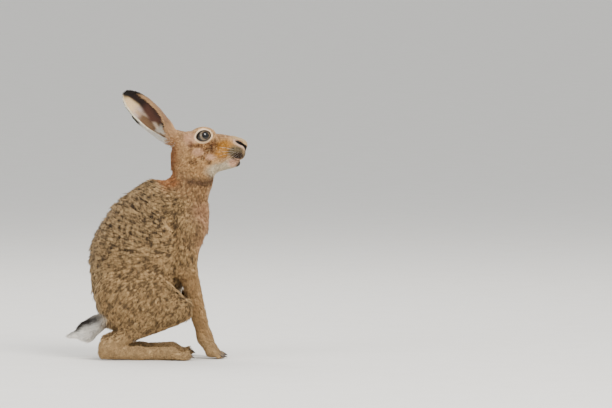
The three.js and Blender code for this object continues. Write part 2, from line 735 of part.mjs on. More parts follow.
// Limbs, eyes, lids and ears of each side
function clawed(made, shape, side) {
  let whole = made;
  for (let i = 0; i < toesPerFoot; i++) whole = whole.add(claw(shape, i, side));
  return largest(whole.intersect(floorUp));
}
for (const [word, side] of Object.entries(sides)) {
  const inShoulder = ovalRegion(onSide(side, shoulderOval), -gap / 2);
  const inHaunch = ovalRegion(onSide(side, haunchOval), -gap / 2);
  const shoulderBox = onSideBox(side, -20, 100, 80, 260);
  const thighBox = onSideBox(side, -150, 10, 70, 180);
  const pawBox = onSideBox(side, 30, -6, 110, 60);
  const footBox = onSideBox(side, -130, -6, 50, 50);
  const shoulder = flesh(hare, cells.upperForeleg, shoulderBox, [inShoulder, above(elbowCut)]);
  const lower = flesh(foreleg, cells.forearm, forearmBox(side), [below(elbowCut), above(wristCut)]);
  const paw = flesh(foreleg, cells.paw, pawBox, [below(wristCut)]);
  const haunch = flesh(hare, cells.thigh, thighBox, [inHaunch, above(hockCut)]);
  const foot = flesh(hindleg, cells.hindFoot, footBox, [below(hockCut)]);
  add(`upper_foreleg_${word}`, shoulder, coats.back);
  add(`forearm_${word}`, lower, coats.rufous);
  add(`forepaw_${word}`, clawed(paw, foreToe, side), coats.rufous);
  add(`thigh_${word}`, haunch, coats.back);
  add(`hind_foot_${word}`, clawed(foot, hindToe, side), coats.rufous);
  add(`eye_${word}`, eyeball(side), coats.eye);
  add(`eyelids_${word}`, eyelids(side).subtract(eyeball(side, gap)), coats.pale);
  add(`ear_${word}`, ear(ears[word]), coats.ear);
}

const hareGroup = new THREE.Group();
for (const [name, { made, material }] of parts) {
  const mesh = new THREE.Mesh(geometryOf(largest(made)), material);
  mesh.name = name;
  hareGroup.add(mesh);
}

// The origin is under the middle of the whole model, on the floor
const extent = new THREE.Box3().setFromObject(hareGroup);
const middle = extent.getCenter(new THREE.Vector3());
for (const mesh of hareGroup.children) mesh.geometry.translate(-middle.x, -middle.y, -extent.min.z);

export default hareGroup;
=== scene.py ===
import math
import bmesh
import bpy
import numpy as np
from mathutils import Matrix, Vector


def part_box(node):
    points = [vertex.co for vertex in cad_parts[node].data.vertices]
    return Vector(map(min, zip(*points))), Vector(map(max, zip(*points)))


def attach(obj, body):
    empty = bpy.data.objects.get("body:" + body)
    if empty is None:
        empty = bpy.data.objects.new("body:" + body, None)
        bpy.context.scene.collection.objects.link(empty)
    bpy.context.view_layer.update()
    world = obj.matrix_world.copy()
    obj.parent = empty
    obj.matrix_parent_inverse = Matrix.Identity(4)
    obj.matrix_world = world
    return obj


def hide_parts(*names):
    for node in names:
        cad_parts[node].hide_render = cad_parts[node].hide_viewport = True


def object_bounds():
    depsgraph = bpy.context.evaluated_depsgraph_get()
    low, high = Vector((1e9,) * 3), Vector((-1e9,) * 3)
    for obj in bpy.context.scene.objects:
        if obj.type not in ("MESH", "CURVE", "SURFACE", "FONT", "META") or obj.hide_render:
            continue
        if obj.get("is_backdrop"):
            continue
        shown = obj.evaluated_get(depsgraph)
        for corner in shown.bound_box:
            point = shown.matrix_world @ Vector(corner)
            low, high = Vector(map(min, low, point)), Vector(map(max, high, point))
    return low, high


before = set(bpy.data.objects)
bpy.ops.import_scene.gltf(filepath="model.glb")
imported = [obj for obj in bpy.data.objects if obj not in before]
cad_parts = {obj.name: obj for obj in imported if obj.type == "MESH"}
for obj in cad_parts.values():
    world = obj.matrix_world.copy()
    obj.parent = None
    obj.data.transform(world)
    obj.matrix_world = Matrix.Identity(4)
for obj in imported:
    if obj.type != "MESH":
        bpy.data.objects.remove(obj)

cad_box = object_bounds()

# A brown hare at life size, dressed in its coat. Sizes are in millimetres on the animal's own drawing,
# where x = 0 is 53.5 mm behind the eye's centre and z = 0 is the floor. place() carries them to the frame.
MM = 0.001
EYE = np.array([53.5, 18.5, 355.0])
EYE_RADIUS, EYE_SWELL = 12.0, 0.7
TOES = 4
SIDES = {"left": 1, "right": -1}
eye_low, eye_high = (Vector(corner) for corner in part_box("eye_left"))
ORIGIN = np.array((eye_low + eye_high) / 2) - EYE * MM


def place(points):
    return np.asarray(points, float) * MM + ORIGIN


def unit(vectors):
    return vectors / np.maximum(np.linalg.norm(vectors, axis=-1, keepdims=True), 1e-9)


def smooth(low, high, value):
    """Runs softly from 0 at low to 1 at high. Low may be the greater of the two."""
    t = np.clip((value - low) / (high - low), 0, 1)
    return t * t * (3 - 2 * t)


def linear(code):
    """An sRGB hex colour as linear red, green, blue."""
    channels = np.array([int(code[i:i + 2], 16) / 255 for i in (1, 3, 5)])
    return np.where(channels <= 0.04045, channels / 12.92, ((channels + 0.055) / 1.055) ** 2.4)


def mirrored(p):
    """Points of the right side carried to the left, where the paired forms are described."""
    return p * [1, 0, 1] + np.abs(p) * [0, 1, 0]


# Masses of the body. Each is a function of points that is negative inside. It is only worked out near the
# mass, and FAR elsewhere.
FAR = 60.0


def bounded(low, high, mass, margin=30):
    low, high = np.array(low) - margin, np.array(high) + margin

    def near(p):
        close = ((p > low) & (p < high)).all(1)
        d = np.full(len(p), FAR)
        if close.any():
            d[close] = mass(p[close])
        return d
    return near


def ellipsoid(at, radii, pitch=0.0):
    c, s = math.cos(math.radians(pitch)), math.sin(math.radians(pitch))
    at, radii = np.array(at, float), np.array(radii, float)

    def mass(p):
        d = p - at
        u = np.stack([c * d[:, 0] + s * d[:, 2], d[:, 1], c * d[:, 2] - s * d[:, 0]], 1) / radii
        near = np.linalg.norm(u, axis=1)
        slope = np.linalg.norm(u / radii, axis=1)
        return near * (near - 1) / np.maximum(slope, 1e-6)
    return bounded(at - radii.max(), at + radii.max(), mass)


def bar(a, b, ra, rb):
    a, b = np.array(a, float), np.array(b, float)
    d = b - a

    def mass(p):
        t = np.clip((p - a) @ d / (d @ d), 0, 1)
        return np.linalg.norm(p - a - t[:, None] * d, axis=1) - (ra + t * (rb - ra))
    return bounded(np.minimum(a, b) - max(ra, rb), np.maximum(a, b) + max(ra, rb), mass)


def spine(stations, steps):
    """Points, half depths and half widths along a smooth line through the stations."""
    pts = np.array([[x, z] for x, z, _, _ in stations], float)
    pts = np.vstack([2 * pts[0] - pts[1], pts, 2 * pts[-1] - pts[-2]])
    sizes = np.array([[d, w] for _, _, d, w in stations], float)
    rows = []
    for k in range(len(stations) - 1):
        p0, p1, p2, p3 = pts[k:k + 4]
        g0, g1, g2 = (math.sqrt(np.linalg.norm(b - a)) for a, b in ((p0, p1), (p1, p2), (p2, p3)))
        m1 = ((p1 - p0) / g0 - (p2 - p0) / (g0 + g1) + (p2 - p1) / g1) * g1
        m2 = ((p2 - p1) / g1 - (p3 - p1) / (g1 + g2) + (p3 - p2) / g2) * g1
        for i in range(steps + (k == len(stations) - 2)):
            t = i / steps
            at = ((2 * t ** 3 - 3 * t ** 2 + 1) * p1 + (t ** 3 - 2 * t ** 2 + t) * m1
                  + (3 * t ** 2 - 2 * t ** 3) * p2 + (t ** 3 - t ** 2) * m2)
            ease = (t * t * (3 - 2 * t) + t) / 2
            rows.append([*at, *(sizes[k] + ease * (sizes[k + 1] - sizes[k]))])
    return np.array(rows)


def trunk(stations, start_dome, end_dome):
    """A mass on the midline, as deep and wide at each station as its row (x, z, depth, width) says."""
    rows = spine(stations, 4)

    def mass(p):
        best = np.full(len(p), np.inf)
        kept = np.zeros((5, len(p)))
        last = len(rows) - 2
        for i, (a, b) in enumerate(zip(rows[:-1], rows[1:])):
            e = b[:2] - a[:2]
            q = p[:, [0, 2]] - a[:2]
            raw = q @ e / (e @ e)
            t = np.clip(raw, 0, 1)
            away = q - t[:, None] * e
            d2 = (away ** 2).sum(1)
            near = d2 < best
            best = np.where(near, d2, best)
            length = math.sqrt(e @ e)
            past = np.abs(raw - t) * length * ((i == 0) & (raw < 0) | (i == last) & (raw > 1))
            dome = np.where(raw < 0, start_dome, end_dome)
            across = (q[:, 1] * e[0] - q[:, 0] * e[1]) / length
            found = np.stack([across, past, dome, a[2] + t * (b[2] - a[2]), a[3] + t * (b[3] - a[3])])
            kept = np.where(near, found, kept)
        across, past, dome, depth, width = kept
        u = np.stack([across / depth, p[:, 1] / width, past / dome])
        near = np.linalg.norm(u, axis=0)
        slope = np.linalg.norm(u / np.stack([depth, width, dome]), axis=0)
        return near * (near - 1) / np.maximum(slope, 1e-6)
    x, z, depth, width = rows.T
    reach = depth.max()
    return bounded([x.min() - reach, -width.max(), z.min() - reach],
                   [x.max() + reach, width.max(), z.max() + reach], mass)


def blend(k, *masses):
    def mass(p):
        d = masses[0](p)
        for other in masses[1:]:
            e = other(p)
            h = np.maximum(k - np.abs(d - e), 0) / k
            d = np.minimum(d, e) - h * h * k / 4
        return d
    return mass


def carve(k, body, hollow):
    def mass(p):
        d, e = body(p), -hollow(p)
        h = np.maximum(k - np.abs(d - e), 0) / k
        return np.maximum(d, e) + h * h * k / 4
    return mass


def paired(mass):
    """The same mass on both sides of the midline, described on the left."""
    return lambda p: mass(mirrored(p))


# Head, with its bridge nearly level because the chin is raised
skull = trunk([[13, 331, 25, 23], [30, 328.5, 33.5, 28], [50, 328.5, 35.5, 29], [70, 330, 31.5, 26],
               [86, 333.5, 26, 21], [100, 336, 20.2, 17], [111, 335.8, 17, 13.5]], 10, 10)
lower_jaw = trunk([[58, 308, 14, 20], [80, 309.5, 11, 15.5], [96, 311.5, 8.8, 11], [106, 313, 7.2, 8.5]],
                  12, 7)
cheek = ellipsoid([46, 16, 313], [27, 16, 22])
orbit = ellipsoid([53.5, 17, 356], [21, 13, 14.3])
lip_pad = ellipsoid([106, 8.5, 328], [14.5, 9.5, 11.5], -8)
nose_pad = ellipsoid([116.5, 0, 340], [7, 8, 8.5], -35)
ear_root = bar([32, 11, 345], [2, 15, 353.5], 15, 12.5)
nostril = bar([106.5, 12.5, 348.5], [122.5, 4.5, 335.5], 1.6, 3.0)
lip_cleft = bar([125, 0, 333], [118, 0, 314], 1.3, 1.5)
mouth_crease = blend(1, bar([100, 13, 320.5], [112, 7, 316.5], 0.9, 1.1),
                     bar([112, 7, 316.5], [118, 0, 314.5], 1.1, 1.2))
temple_crease = bar([38, 30, 349], [32.5, 31.5, 334], 0.9, 1.4)

upper_head = blend(7, blend(10, skull, paired(cheek)), paired(orbit), paired(lip_pad), nose_pad)
face = blend(3, upper_head, lower_jaw)
head = blend(10, face, paired(ear_root))

# Neck and trunk
neck = trunk([[38, 322, 30, 26], [38, 302, 34.5, 28], [36, 285, 35.5, 31], [28, 264, 38, 37],
              [22, 240, 43, 43], [16, 220, 48, 47]], 14, 20)
# Rows of x, z, half depth and half width
BODY_LINE = [[20, 251, 45, 42], [1, 233, 62, 51], [-27, 200, 81, 57], [-46, 159, 84.5, 61],
             [-54, 115, 75, 62], [-58, 82, 64, 58], [-60, 62, 50, 52]]
body = trunk(BODY_LINE, 22, 30)
withers = ellipsoid([-22, 0, 247], [44, 34, 40])
breast = ellipsoid([26, 0, 212], [34, 38, 46])
ELBOW, WRIST = [26, 38, 140], [55, 25, 34]
shoulder_blade = bar([-6, 24, 246], [33, 35, 208], 22, 24)
upper_arm = bar([33, 36, 208], [25, 38, 142], 24, 18.5)
forearm = bar(ELBOW, WRIST, 17, 10.5)
thigh = bar([-82, 36, 106], [8, 60, 84], 38, 25)
thigh_muscle = ellipsoid([-44, 54, 90], [62, 30, 52])
shank = bar([8, 60, 80], [-102, 56, 24], 22, 12.5)
TAIL_BEND = [-134, 0, 41]
tail = blend(8, bar([-104, 0, 62], TAIL_BEND, 17, 18), bar(TAIL_BEND, [-159, 0, 35], 18.5, 13))

# Feet: long soles behind, short paws in front, each with its row of toes
HEEL, ARCH, BALL = [-106, 57, 12.5], [-50, 57, 10.5], [2, 59, 10.5]
KNUCKLES = [66, 24, 12.5]
HIND_TOE = {"start": BALL, "length": 27, "radius": 6.8, "spread": 24, "fan": 5}
FORE_TOE = {"start": KNUCKLES, "length": 16, "radius": 5.4, "spread": 19, "fan": 5}


def toe_line(toe, i):
    spot = i / (TOES - 1) - 0.5
    reach = toe["length"] * (1 - 1.1 * spot * spot)
    x, y, z = toe["start"]
    end = [x + reach, y + spot * (toe["spread"] + toe["fan"]), toe["radius"] * 0.8]
    return [x, y + spot * toe["spread"], z], end


def toes(toe):
    return blend(2.5, *(bar(*toe_line(toe, i), toe["radius"] * 1.1, toe["radius"]) for i in range(TOES)))


hind_foot = blend(9, bar(HEEL, ARCH, 12.5, 11), bar(ARCH, BALL, 11, 12), toes(HIND_TOE))
fore_paw = blend(7, bar(WRIST, KNUCKLES, 11, 11), toes(FORE_TOE))
foreleg = paired(blend(10, forearm, fore_paw))
hindleg = paired(blend(12, shank, hind_foot))
limbs = blend(18, paired(thigh), paired(thigh_muscle), hindleg)
shoulders = blend(14, paired(shoulder_blade), paired(upper_arm))
torso = blend(14, blend(20, body, withers, breast), shoulders, limbs)

# The lie of the coat: each region's own flow, how long its hairs are and how far they lift
body_run = unit(np.gradient(np.array(BODY_LINE, float)[:, [0, 2]], axis=0))


def down_the_back(p):
    heights = np.array(BODY_LINE, float)[::-1, 1]
    run = [np.interp(p[:, 2], heights, body_run[::-1, axis]) for axis in (0, 1)]
    return np.stack([run[0], 0.12 * np.sign(p[:, 1]) * smooth(0, 60, np.abs(p[:, 1])), run[1]], 1)


def straight(*way):
    return lambda p: np.tile(np.array(way, float), (len(p), 1))


REGIONS = {
    "face": {"mass": face, "lie": straight(-1, 0, -0.12), "length": 5.0, "lift": 15},
    "ear_root": {"mass": paired(ear_root), "lie": straight(-0.9, 0, 0.45), "length": 6, "lift": 15},
    "neck": {"mass": neck, "lie": straight(-0.3, 0, -1), "length": 10, "lift": 16},
    "back": {"mass": blend(10, body, withers), "lie": down_the_back, "length": 15, "lift": 15},
    "breast": {"mass": breast, "lie": straight(-0.1, 0, -1), "length": 14, "lift": 15},
    "shoulder": {"mass": paired(blend(10, shoulder_blade, upper_arm)), "lie": straight(-0.25, 0, -1),
                 "length": 12, "lift": 14},
    "forearm": {"mass": paired(forearm), "lie": straight(0.1, 0, -1), "length": 6.5, "lift": 14},
    "thigh": {"mass": paired(blend(10, thigh, thigh_muscle)), "lie": straight(-0.55, 0.1, -0.8), "length": 13,
              "lift": 14},
    "shank": {"mass": paired(shank), "lie": straight(-0.9, 0, -0.4), "length": 9, "lift": 16},
    "paw": {"mass": paired(fore_paw), "lie": straight(0.9, 0, -0.45), "length": 5, "lift": 13},
    "hind_foot": {"mass": paired(hind_foot), "lie": straight(1, 0, -0.1), "length": 6, "lift": 13},
    "tail": {"mass": tail, "lie": straight(-0.9, 0, -0.1), "length": 16, "lift": 16},
}
REACH = 11.0


def shares(p):
    """How much each region rules each point: the nearest one most."""
    near = np.stack([np.maximum(region["mass"](p), -9) for region in REGIONS.values()])
    weight = np.exp(-(near - near.min(0)) / REACH * 2)
    return weight / weight.sum(0)


def ruled(share, key):
    return share.T @ np.array([region[key] for region in REGIONS.values()], float)


# Eyes and their opening
GAZE = unit(np.array([0.1, 1.0, 0.2]))
OPEN_LONG, OPEN_HIGH, OPEN_TILT = 11.2, 7.8, math.radians(14)
ahead = np.array([math.cos(OPEN_TILT), 0, math.sin(OPEN_TILT)])
AHEAD = unit(ahead - ahead @ GAZE * GAZE)
UPWARD = np.cross(AHEAD, GAZE) * (1 if np.cross(AHEAD, GAZE)[2] > 0 else -1)


def opening(angle, scale=1.0):
    """A point on the almond edge of the lids, as an offset from the eye's centre."""
    c, s = np.cos(angle), np.sin(angle)
    pinch = 1 - 0.12 * np.abs(c) ** 3
    return scale * (OPEN_LONG * c[..., None] * AHEAD + (OPEN_HIGH * pinch * s)[..., None] * UPWARD)


def eye_room(p):
    """The ball's hollow and the window in front of it, in the skin."""
    d = p - EYE
    ball = np.linalg.norm(d, axis=1) - (EYE_RADIUS + 0.5)
    u, v, w = d @ AHEAD / (OPEN_LONG * 1.08), d @ UPWARD / (OPEN_HIGH * 1.1), d @ GAZE
    window = (np.hypot(u, v) - 1) * OPEN_HIGH
    return np.minimum(ball, np.maximum(window, 2 - w))


whole = blend(12, blend(12, neck, head), torso)


def skin_depth(p):
    """How far the skin lies inside the coat's outer surface."""
    x, z = p[:, 0], p[:, 2]
    depth = 5.8 - 4.6 * smooth(268, 306, z) - 0.5 * smooth(80, 108, x) * smooth(290, 300, z)
    depth += 1.5 * smooth(24, -6, x) * smooth(250, 275, z) * (1 - smooth(296, 310, z))
    depth += 2.6 * smooth(30, -10, x) * smooth(190, 235, z) * smooth(296, 276, z)
    depth -= 4.0 * smooth(20, 34, x) * (1 - smooth(120, 170, z))
    depth -= 4.2 * (1 - smooth(26, 44, z)) * (1 - smooth(-106, -118, x)) * (depth > 3)
    return depth + 5.0 * smooth(-128, -160, x)


covered = blend(6, blend(10, whole, tail), foreleg)


def body_field(p):
    """The skin before the eyes, nostrils and creases are let into it."""
    return covered(p) + skin_depth(p)


def skin_field(p):
    d = body_field(p)
    for k, hollow in ((1.5, paired(nostril)), (1.2, lip_cleft), (1.5, paired(mouth_crease)),
                      (2.5, paired(temple_crease)), (1, paired(eye_room))):
        d = carve(k, lambda q, d=d: d, hollow)(p)
    return np.maximum(d, 0.35 - p[:, 2])


# Meshing a field: surface nets on a grid that is finer at the head
TETRAHEDRON = np.array([[1, -1, -1], [-1, -1, 1], [-1, 1, -1], [1, 1, 1]], float)


def value_and_gradient(field, p, step=0.2):
    samples = np.stack([field(p + step * corner) for corner in TETRAHEDRON], 1)
    return samples.mean(1), samples @ TETRAHEDRON / (4 * step)


def in_batches(field, p, size=150000):
    return np.concatenate([field(p[i:i + size]) for i in range(0, len(p), size)]) if len(p) else np.zeros(0)


def grid_values(field, axes):
    """Field values where the surface may pass; far values elsewhere."""
    block = 4
    shape = [len(a) for a in axes]
    counts = [math.ceil(n / block) for n in shape]
    marks = [np.minimum(np.arange(c + 1) * block, n - 1) for c, n in zip(counts, shape)]
    low = np.stack(np.meshgrid(*(a[m[:-1]] for a, m in zip(axes, marks)), indexing="ij"), -1).reshape(-1, 3)
    high = np.stack(np.meshgrid(*(a[m[1:]] for a, m in zip(axes, marks)), indexing="ij"), -1).reshape(-1, 3)
    middle = (low + high) / 2
    rough = in_batches(field, middle)
    active = np.abs(rough) < 0.75 * np.linalg.norm(high - low, axis=1) + 4
    cells = np.stack(np.unravel_index(np.flatnonzero(active), counts), 1) * block
    values = np.repeat(np.repeat(np.repeat(rough.reshape(counts), block, 0), block, 1), block, 2)
    values = values[:shape[0], :shape[1], :shape[2]].copy()
    offsets = np.stack(np.meshgrid(*[np.arange(block)] * 3, indexing="ij"), -1).reshape(-1, 3)
    index = (cells[:, None] + offsets).reshape(-1, 3)
    index = index[(index < shape).all(1)]
    points = np.stack([a[i] for a, i in zip(axes, index.T)], 1)
    values[tuple(index.T)] = in_batches(field, points)
    return values


CORNERS = [(c & 1, c >> 1 & 1, c >> 2 & 1) for c in range(8)]
CELL_EDGES = [(a, a | 1 << axis, axis) for axis in range(3) for a in range(8) if not a >> axis & 1]


def cell_sheets():
    """For each of the 256 kinds of cell, which piece of surface each crossed edge belongs to."""
    number = {frozenset(edge[:2]): i for i, edge in enumerate(CELL_EDGES)}
    rings = [[base, base | u, base | u | v, base | v]
             for u, v, w in ((1, 2, 4), (2, 4, 1), (4, 1, 2)) for base in (0, w)]
    table = np.full((256, len(CELL_EDGES)), -1)
    for kind in range(256):
        inside = [bool(kind >> c & 1) for c in range(8)]
        sheet = [i if inside[a] != inside[b] else -1 for i, (a, b, _) in enumerate(CELL_EDGES)]

        def join(p, q):
            kept, gone = sheet[p], sheet[q]
            sheet[:] = [kept if value == gone else value for value in sheet]
        for ring in rings:
            around = [number[frozenset((ring[i], ring[(i + 1) % 4]))] for i in range(4)]
            crossed = [e for e in around if sheet[e] >= 0]
            if len(crossed) == 2:
                join(*crossed)
            if len(crossed) == 4:
                for i in range(4):
                    if inside[ring[i]]:
                        join(around[i - 1], around[i])
        order = sorted(set(sheet) - {-1})
        table[kind] = [order.index(value) if value >= 0 else -1 for value in sheet]
    return table


SHEETS = cell_sheets()


def surface_net(field, axes):
    """Points and quads of the field's zero, one point for each piece of surface in a cell."""
    values = grid_values(field, axes)
    inside = values < 0
    kinds = sum(inside[tuple(slice(o, s - 1 + o) for o, s in zip(offset, inside.shape))].astype(int) << bit
                for bit, offset in enumerate(CORNERS))
    cells = np.stack(np.nonzero((kinds > 0) & (kinds < 255)), 1)
    kind = kinds[tuple(cells.T)]
    sheets = SHEETS[kind]
    first = np.concatenate([[0], np.cumsum(sheets.max(1) + 1)])
    total, count = np.zeros((first[-1], 3)), np.zeros(first[-1])
    for number, (start, end, _) in enumerate(CELL_EDGES):
        on = sheets[:, number] >= 0
        ends = []
        for corner in (start, end):
            index = cells[on] + CORNERS[corner]
            ends.append((values[tuple(index.T)], np.stack([a[i] for a, i in zip(axes, index.T)], 1)))
        (va, pa), (vb, pb) = ends
        spot = first[:-1][on] + sheets[on, number]
        np.add.at(total, spot, pa + (va / (va - vb))[:, None] * (pb - pa))
        np.add.at(count, spot, 1)
    points = total / count[:, None]
    for _ in range(2):
        d, g = value_and_gradient(field, points)
        points -= np.clip((d / np.maximum((g ** 2).sum(1), 0.2))[:, None] * g, -0.7, 0.7)
    place_of = np.full(kinds.shape, -1)
    place_of[tuple(cells.T)] = np.arange(len(cells))
    edge_number = {edge: i for i, edge in enumerate(CELL_EDGES)}
    steps = np.eye(3, dtype=int)
    quads = []
    for axis in range(3):
        u, v = steps[(axis + 1) % 3], steps[(axis + 2) % 3]
        a = inside[tuple(slice(0, s - 1) for s in inside.shape)]
        b = inside[tuple(slice(o, s - 1 + o) for o, s in zip(steps[axis], inside.shape))]
        edges = np.stack(np.nonzero(a != b), 1)
        edges = edges[((edges - u - v) >= 0).all(1)]
        ring = []
        for i, j in ((1, 1), (0, 1), (0, 0), (1, 0)):
            back = i * u + j * v
            corner = int(back @ [1, 2, 4])
            cell = place_of[tuple((edges - back).T)]
            ring.append(first[cell] + sheets[cell, edge_number[(corner, corner | 1 << axis, axis)]])
        quad = np.stack(ring, 1)
        turned = ~a[tuple(edges.T)]
        quad[turned] = quad[turned][:, ::-1]
        quads.append(quad)
    return points, np.concatenate(quads)


# Blender helpers
def add_object(name, mesh):
    piece = bpy.data.objects.new(name, mesh)
    bpy.context.scene.collection.objects.link(piece)
    return piece


def add_mesh(name, points, faces, shade_smooth=True):
    mesh = bpy.data.meshes.new(name)
    mesh.from_pydata(np.asarray(points).tolist(), [], [list(map(int, f)) for f in faces])
    mesh.validate()
    if shade_smooth:
        mesh.polygons.foreach_set("use_smooth", [True] * len(mesh.polygons))
    return add_object(name, mesh)


def bands(rows, count, closed=False):
    """Quads from each ring of `count` points to the next, and from the last to the first if closed."""
    steps = rows if closed else rows + 1
    return [[i * count + j, i * count + (j + 1) % count, (i + 1) % steps * count + (j + 1) % count,
             (i + 1) % steps * count + j] for i in range(rows) for j in range(count)]


def store(mesh, name, kind, values, domain="POINT"):
    attribute = mesh.attributes.new(name, kind, domain)
    key = {"FLOAT_VECTOR": "vector", "FLOAT_COLOR": "color"}.get(kind, "value")
    values = np.asarray(values, np.int32 if kind == "INT" else np.float32)
    attribute.data.foreach_set(key, values.ravel())


def finish_piece(piece, slot, replaced=()):
    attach(piece, "root")
    if replaced:
        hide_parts(*replaced)


def add(tree, kind, inputs=(), **settings):
    """Adds a node with its settings, links or sets each input that is given, and returns the outputs."""
    node = tree.nodes.new(kind)
    for key, value in settings.items():
        setattr(node, key, value)
    for key, value in dict(inputs).items():
        if isinstance(value, bpy.types.NodeSocket):
            tree.links.new(value, node.inputs[key])
        else:
            node.inputs[key].default_value = value
    return node.outputs


# Colours of the coat, painted in soft patches. Later ones lie over earlier ones. The number beside each is
# how grizzled it is, from 0, even, to 1, each hair banded dark and buff. A few stand for painted shade, not
# coat: the shadow under the jaw, the dark under the chin and in the mouth's creases, the black inside the
# nostrils over their dark rims, and the dark groove behind the eye.
COLOURS = {name: np.append(linear(code), grizzle) for name, (code, grizzle) in {
    "agouti": ("#a2835b", 1.0), "rump": ("#a68b66", 0.95), "flank": ("#ad8b5f", 0.85),
    "belly": ("#e6dcc9", 0.0), "nape": ("#935e36", 0.3), "neck": ("#a27b53", 0.55),
    "chest": ("#b08563", 0.4), "leg": ("#aa865a", 0.3), "leg_inside": ("#d3b88a", 0.0),
    "foot": ("#aa8a60", 0.3), "face": ("#d4a775", 0.6), "brow": ("#bf946a", 0.65),
    "golden": ("#b87d2c", 0.5), "mottle": ("#80512c", 0.9), "cheek": ("#d1a36d", 0.65),
    "jaw": ("#cfbfa2", 0.15), "chin": ("#d2a787", 0.1), "ring": ("#debf98", 0.0),
    "pad": ("#675a45", 0.3), "pad_dark": ("#35271f", 0.1), "nose": ("#cdaf82", 0.15),
    "lip": ("#dcae90", 0.0), "dark": ("#39322c", 0.0), "black": ("#15110f", 0.0),
    "throat": ("#bd9875", 0.4), "crease_shade": ("#6d4a30", 0.1), "temple": ("#d6a883", 0.2),
    "shadow": ("#5f432e", 0.15), "nostril_rim": ("#d9b8a2", 0.0), "nostril_red": ("#8c5a4c", 0.0),
    "tail_top": ("#28211d", 0.0), "tail_side": ("#efe9df", 0.0),
}.items()}
# Each patch: colour, centre, radii and how soft its edge is. The left side is mirrored to the right.
PATCHES = [
    ("agouti", (-60, 0, 215), (85, 66, 80), 0.5),
    ("rump", (-125, 0, 110), (55, 50, 75), 0.6),
    ("belly", (10, 0, 75), (70, 26, 60), 0.5),
    ("chest", (48, 0, 205), (44, 50, 50), 0.7),
    ("chest", (56, 0, 240), (26, 42, 26), 0.8),
    ("neck", (40, 0, 282), (46, 50, 34), 0.6),
    ("nape", (0, 0, 302), (14, 40, 44), 0.9),
    ("nape", (2, 14, 284), (18, 18, 9), 1.0),
    ("throat", (76, 0, 262), (20, 26, 30), 0.7),
    ("face", (58, 0, 336), (76, 60, 43), 0.3),
    ("shadow", (50, 24, 288), (24, 24, 7), 0.9),
    ("shadow", (66, 16, 290), (9, 14, 8), 0.9),
    ("brow", (20, 0, 358), (30, 26, 22), 0.8),
    ("nape", (4, 0, 330), (14, 40, 30), 0.9),
    ("brow", (84, 0, 358), (34, 12, 10), 0.8),
    ("temple", (33, 28, 352), (9, 14, 13), 0.8),
    ("cheek", (56, 26, 316), (30, 20, 24), 0.8),
    ("mottle", (70, 28, 341), (17, 14, 10), 0.9),
    ("mottle", (62, 28, 334), (12, 14, 10), 1.0),
    ("mottle", (46, 30, 341), (13, 10, 3.2), 0.9),
    ("golden", (90, 22, 339), (14, 16, 13), 0.8),
    ("golden", (84, 24, 327), (13, 14, 6), 1.0),
    ("mottle", (52, 30, 322), (5, 9, 4), 1.0),
    ("mottle", (40, 30, 316), (6, 9, 5), 1.0),
    ("mottle", (63, 27, 316), (4, 9, 5), 1.0),
    ("temple", (46, 30, 331), (9, 12, 6), 0.9),
    ("temple", (66, 26, 323), (8, 12, 5), 0.9),
    ("jaw", (80, 8, 303), (30, 26, 11), 0.7),
    ("jaw", (96, 0, 306), (16, 30, 12), 0.7),
    ("chin", (104, 8, 313), (11, 12, 7), 0.7),
    ("nose", (112, 0, 348), (17, 14, 10), 0.7),
    ("pad", (106, 16, 331), (13, 14, 10), 0.8),
    ("pad_dark", (110, 14, 324), (9, 10, 6.5), 0.8),
    ("pad", (119, 6, 327), (4.5, 7, 9), 0.7),
    ("lip", (104, 12, 317.5), (9, 8, 2.6), 0.5),
    # Painted shadow: the dark patch under the lower lip stands for the shade beneath the chin
    ("dark", (113, 0, 309), (8, 12, 6.5), 0.7),
    # Painted shade along the groove behind the eye
    ("crease_shade", (35, 31, 341), (4, 6, 10), 0.8),
]


def markings(p, share):
    """The coat's colour and grizzle at each point."""
    colour = np.tile(COLOURS["flank"], (len(p), 1))
    q = mirrored(p)

    def paint(name, amount):
        colour[:] += amount[:, None] * (COLOURS[name] - colour)
    for name, centre, radii, soft in PATCHES:
        away = np.linalg.norm((q - centre) / radii, axis=1)
        paint(name, 1 - smooth(1 - soft / 2, 1 + soft / 2, away))
    d = q - EYE - 8.5 * GAZE
    around = np.hypot(d @ AHEAD / (OPEN_LONG + 3.4), d @ UPWARD / (OPEN_HIGH + 3.3))
    paint("ring", (1 - smooth(0.88, 1.08, around)) * (np.abs(d @ GAZE) < 14))
    above = smooth(-1, 2, (q - [115, 8, 342]) @ unit(np.array([0.63, 0, 0.78])))
    paint("nostril_rim", 0.8 * smooth(5.5, 2.5, nostril(q)) * (1 - above) * smooth(122, 116, q[:, 0]))
    paint("nostril_red", 0.7 * smooth(4.5, 1.5, nostril(q)) * above * smooth(120, 112, q[:, 0]))
    # Painted shade inside the nostril's hollow, running out over the dark skin at its edge
    paint("black", 1 - smooth(0.5, 1.8, nostril(q)))
    # Painted shade: the cleft of the lip and the crease of the mouth are darkened
    paint("dark", 1 - smooth(0.3, 1.2, np.minimum(lip_cleft(q), mouth_crease(q))))
    part = dict(zip(REGIONS, share))
    low = smooth(190, 120, p[:, 2])
    paint("leg", smooth(0.35, 0.7, part["forearm"] + part["paw"] + 0.4 * part["shoulder"] * low))
    paint("leg_inside", 0.8 * smooth(0.5, 0.9, part["forearm"]) * smooth(30, 18, q[:, 1]))
    low_shank = part["shank"] * smooth(40, 25, p[:, 2])
    paint("foot", smooth(0.35, 0.7, part["hind_foot"] + part["paw"] + low_shank))
    behind = smooth(-92, -112, p[:, 0]) * smooth(84, 60, p[:, 2]) * smooth(24, 16, q[:, 1])
    top = smooth(0.1, 0.9, (p[:, 2] - 32 - 0.36 * (p[:, 0] + 160)) / 12) * smooth(15, 9, q[:, 1])
    paint("tail_side", behind)
    paint("tail_top", behind * top)
    return colour


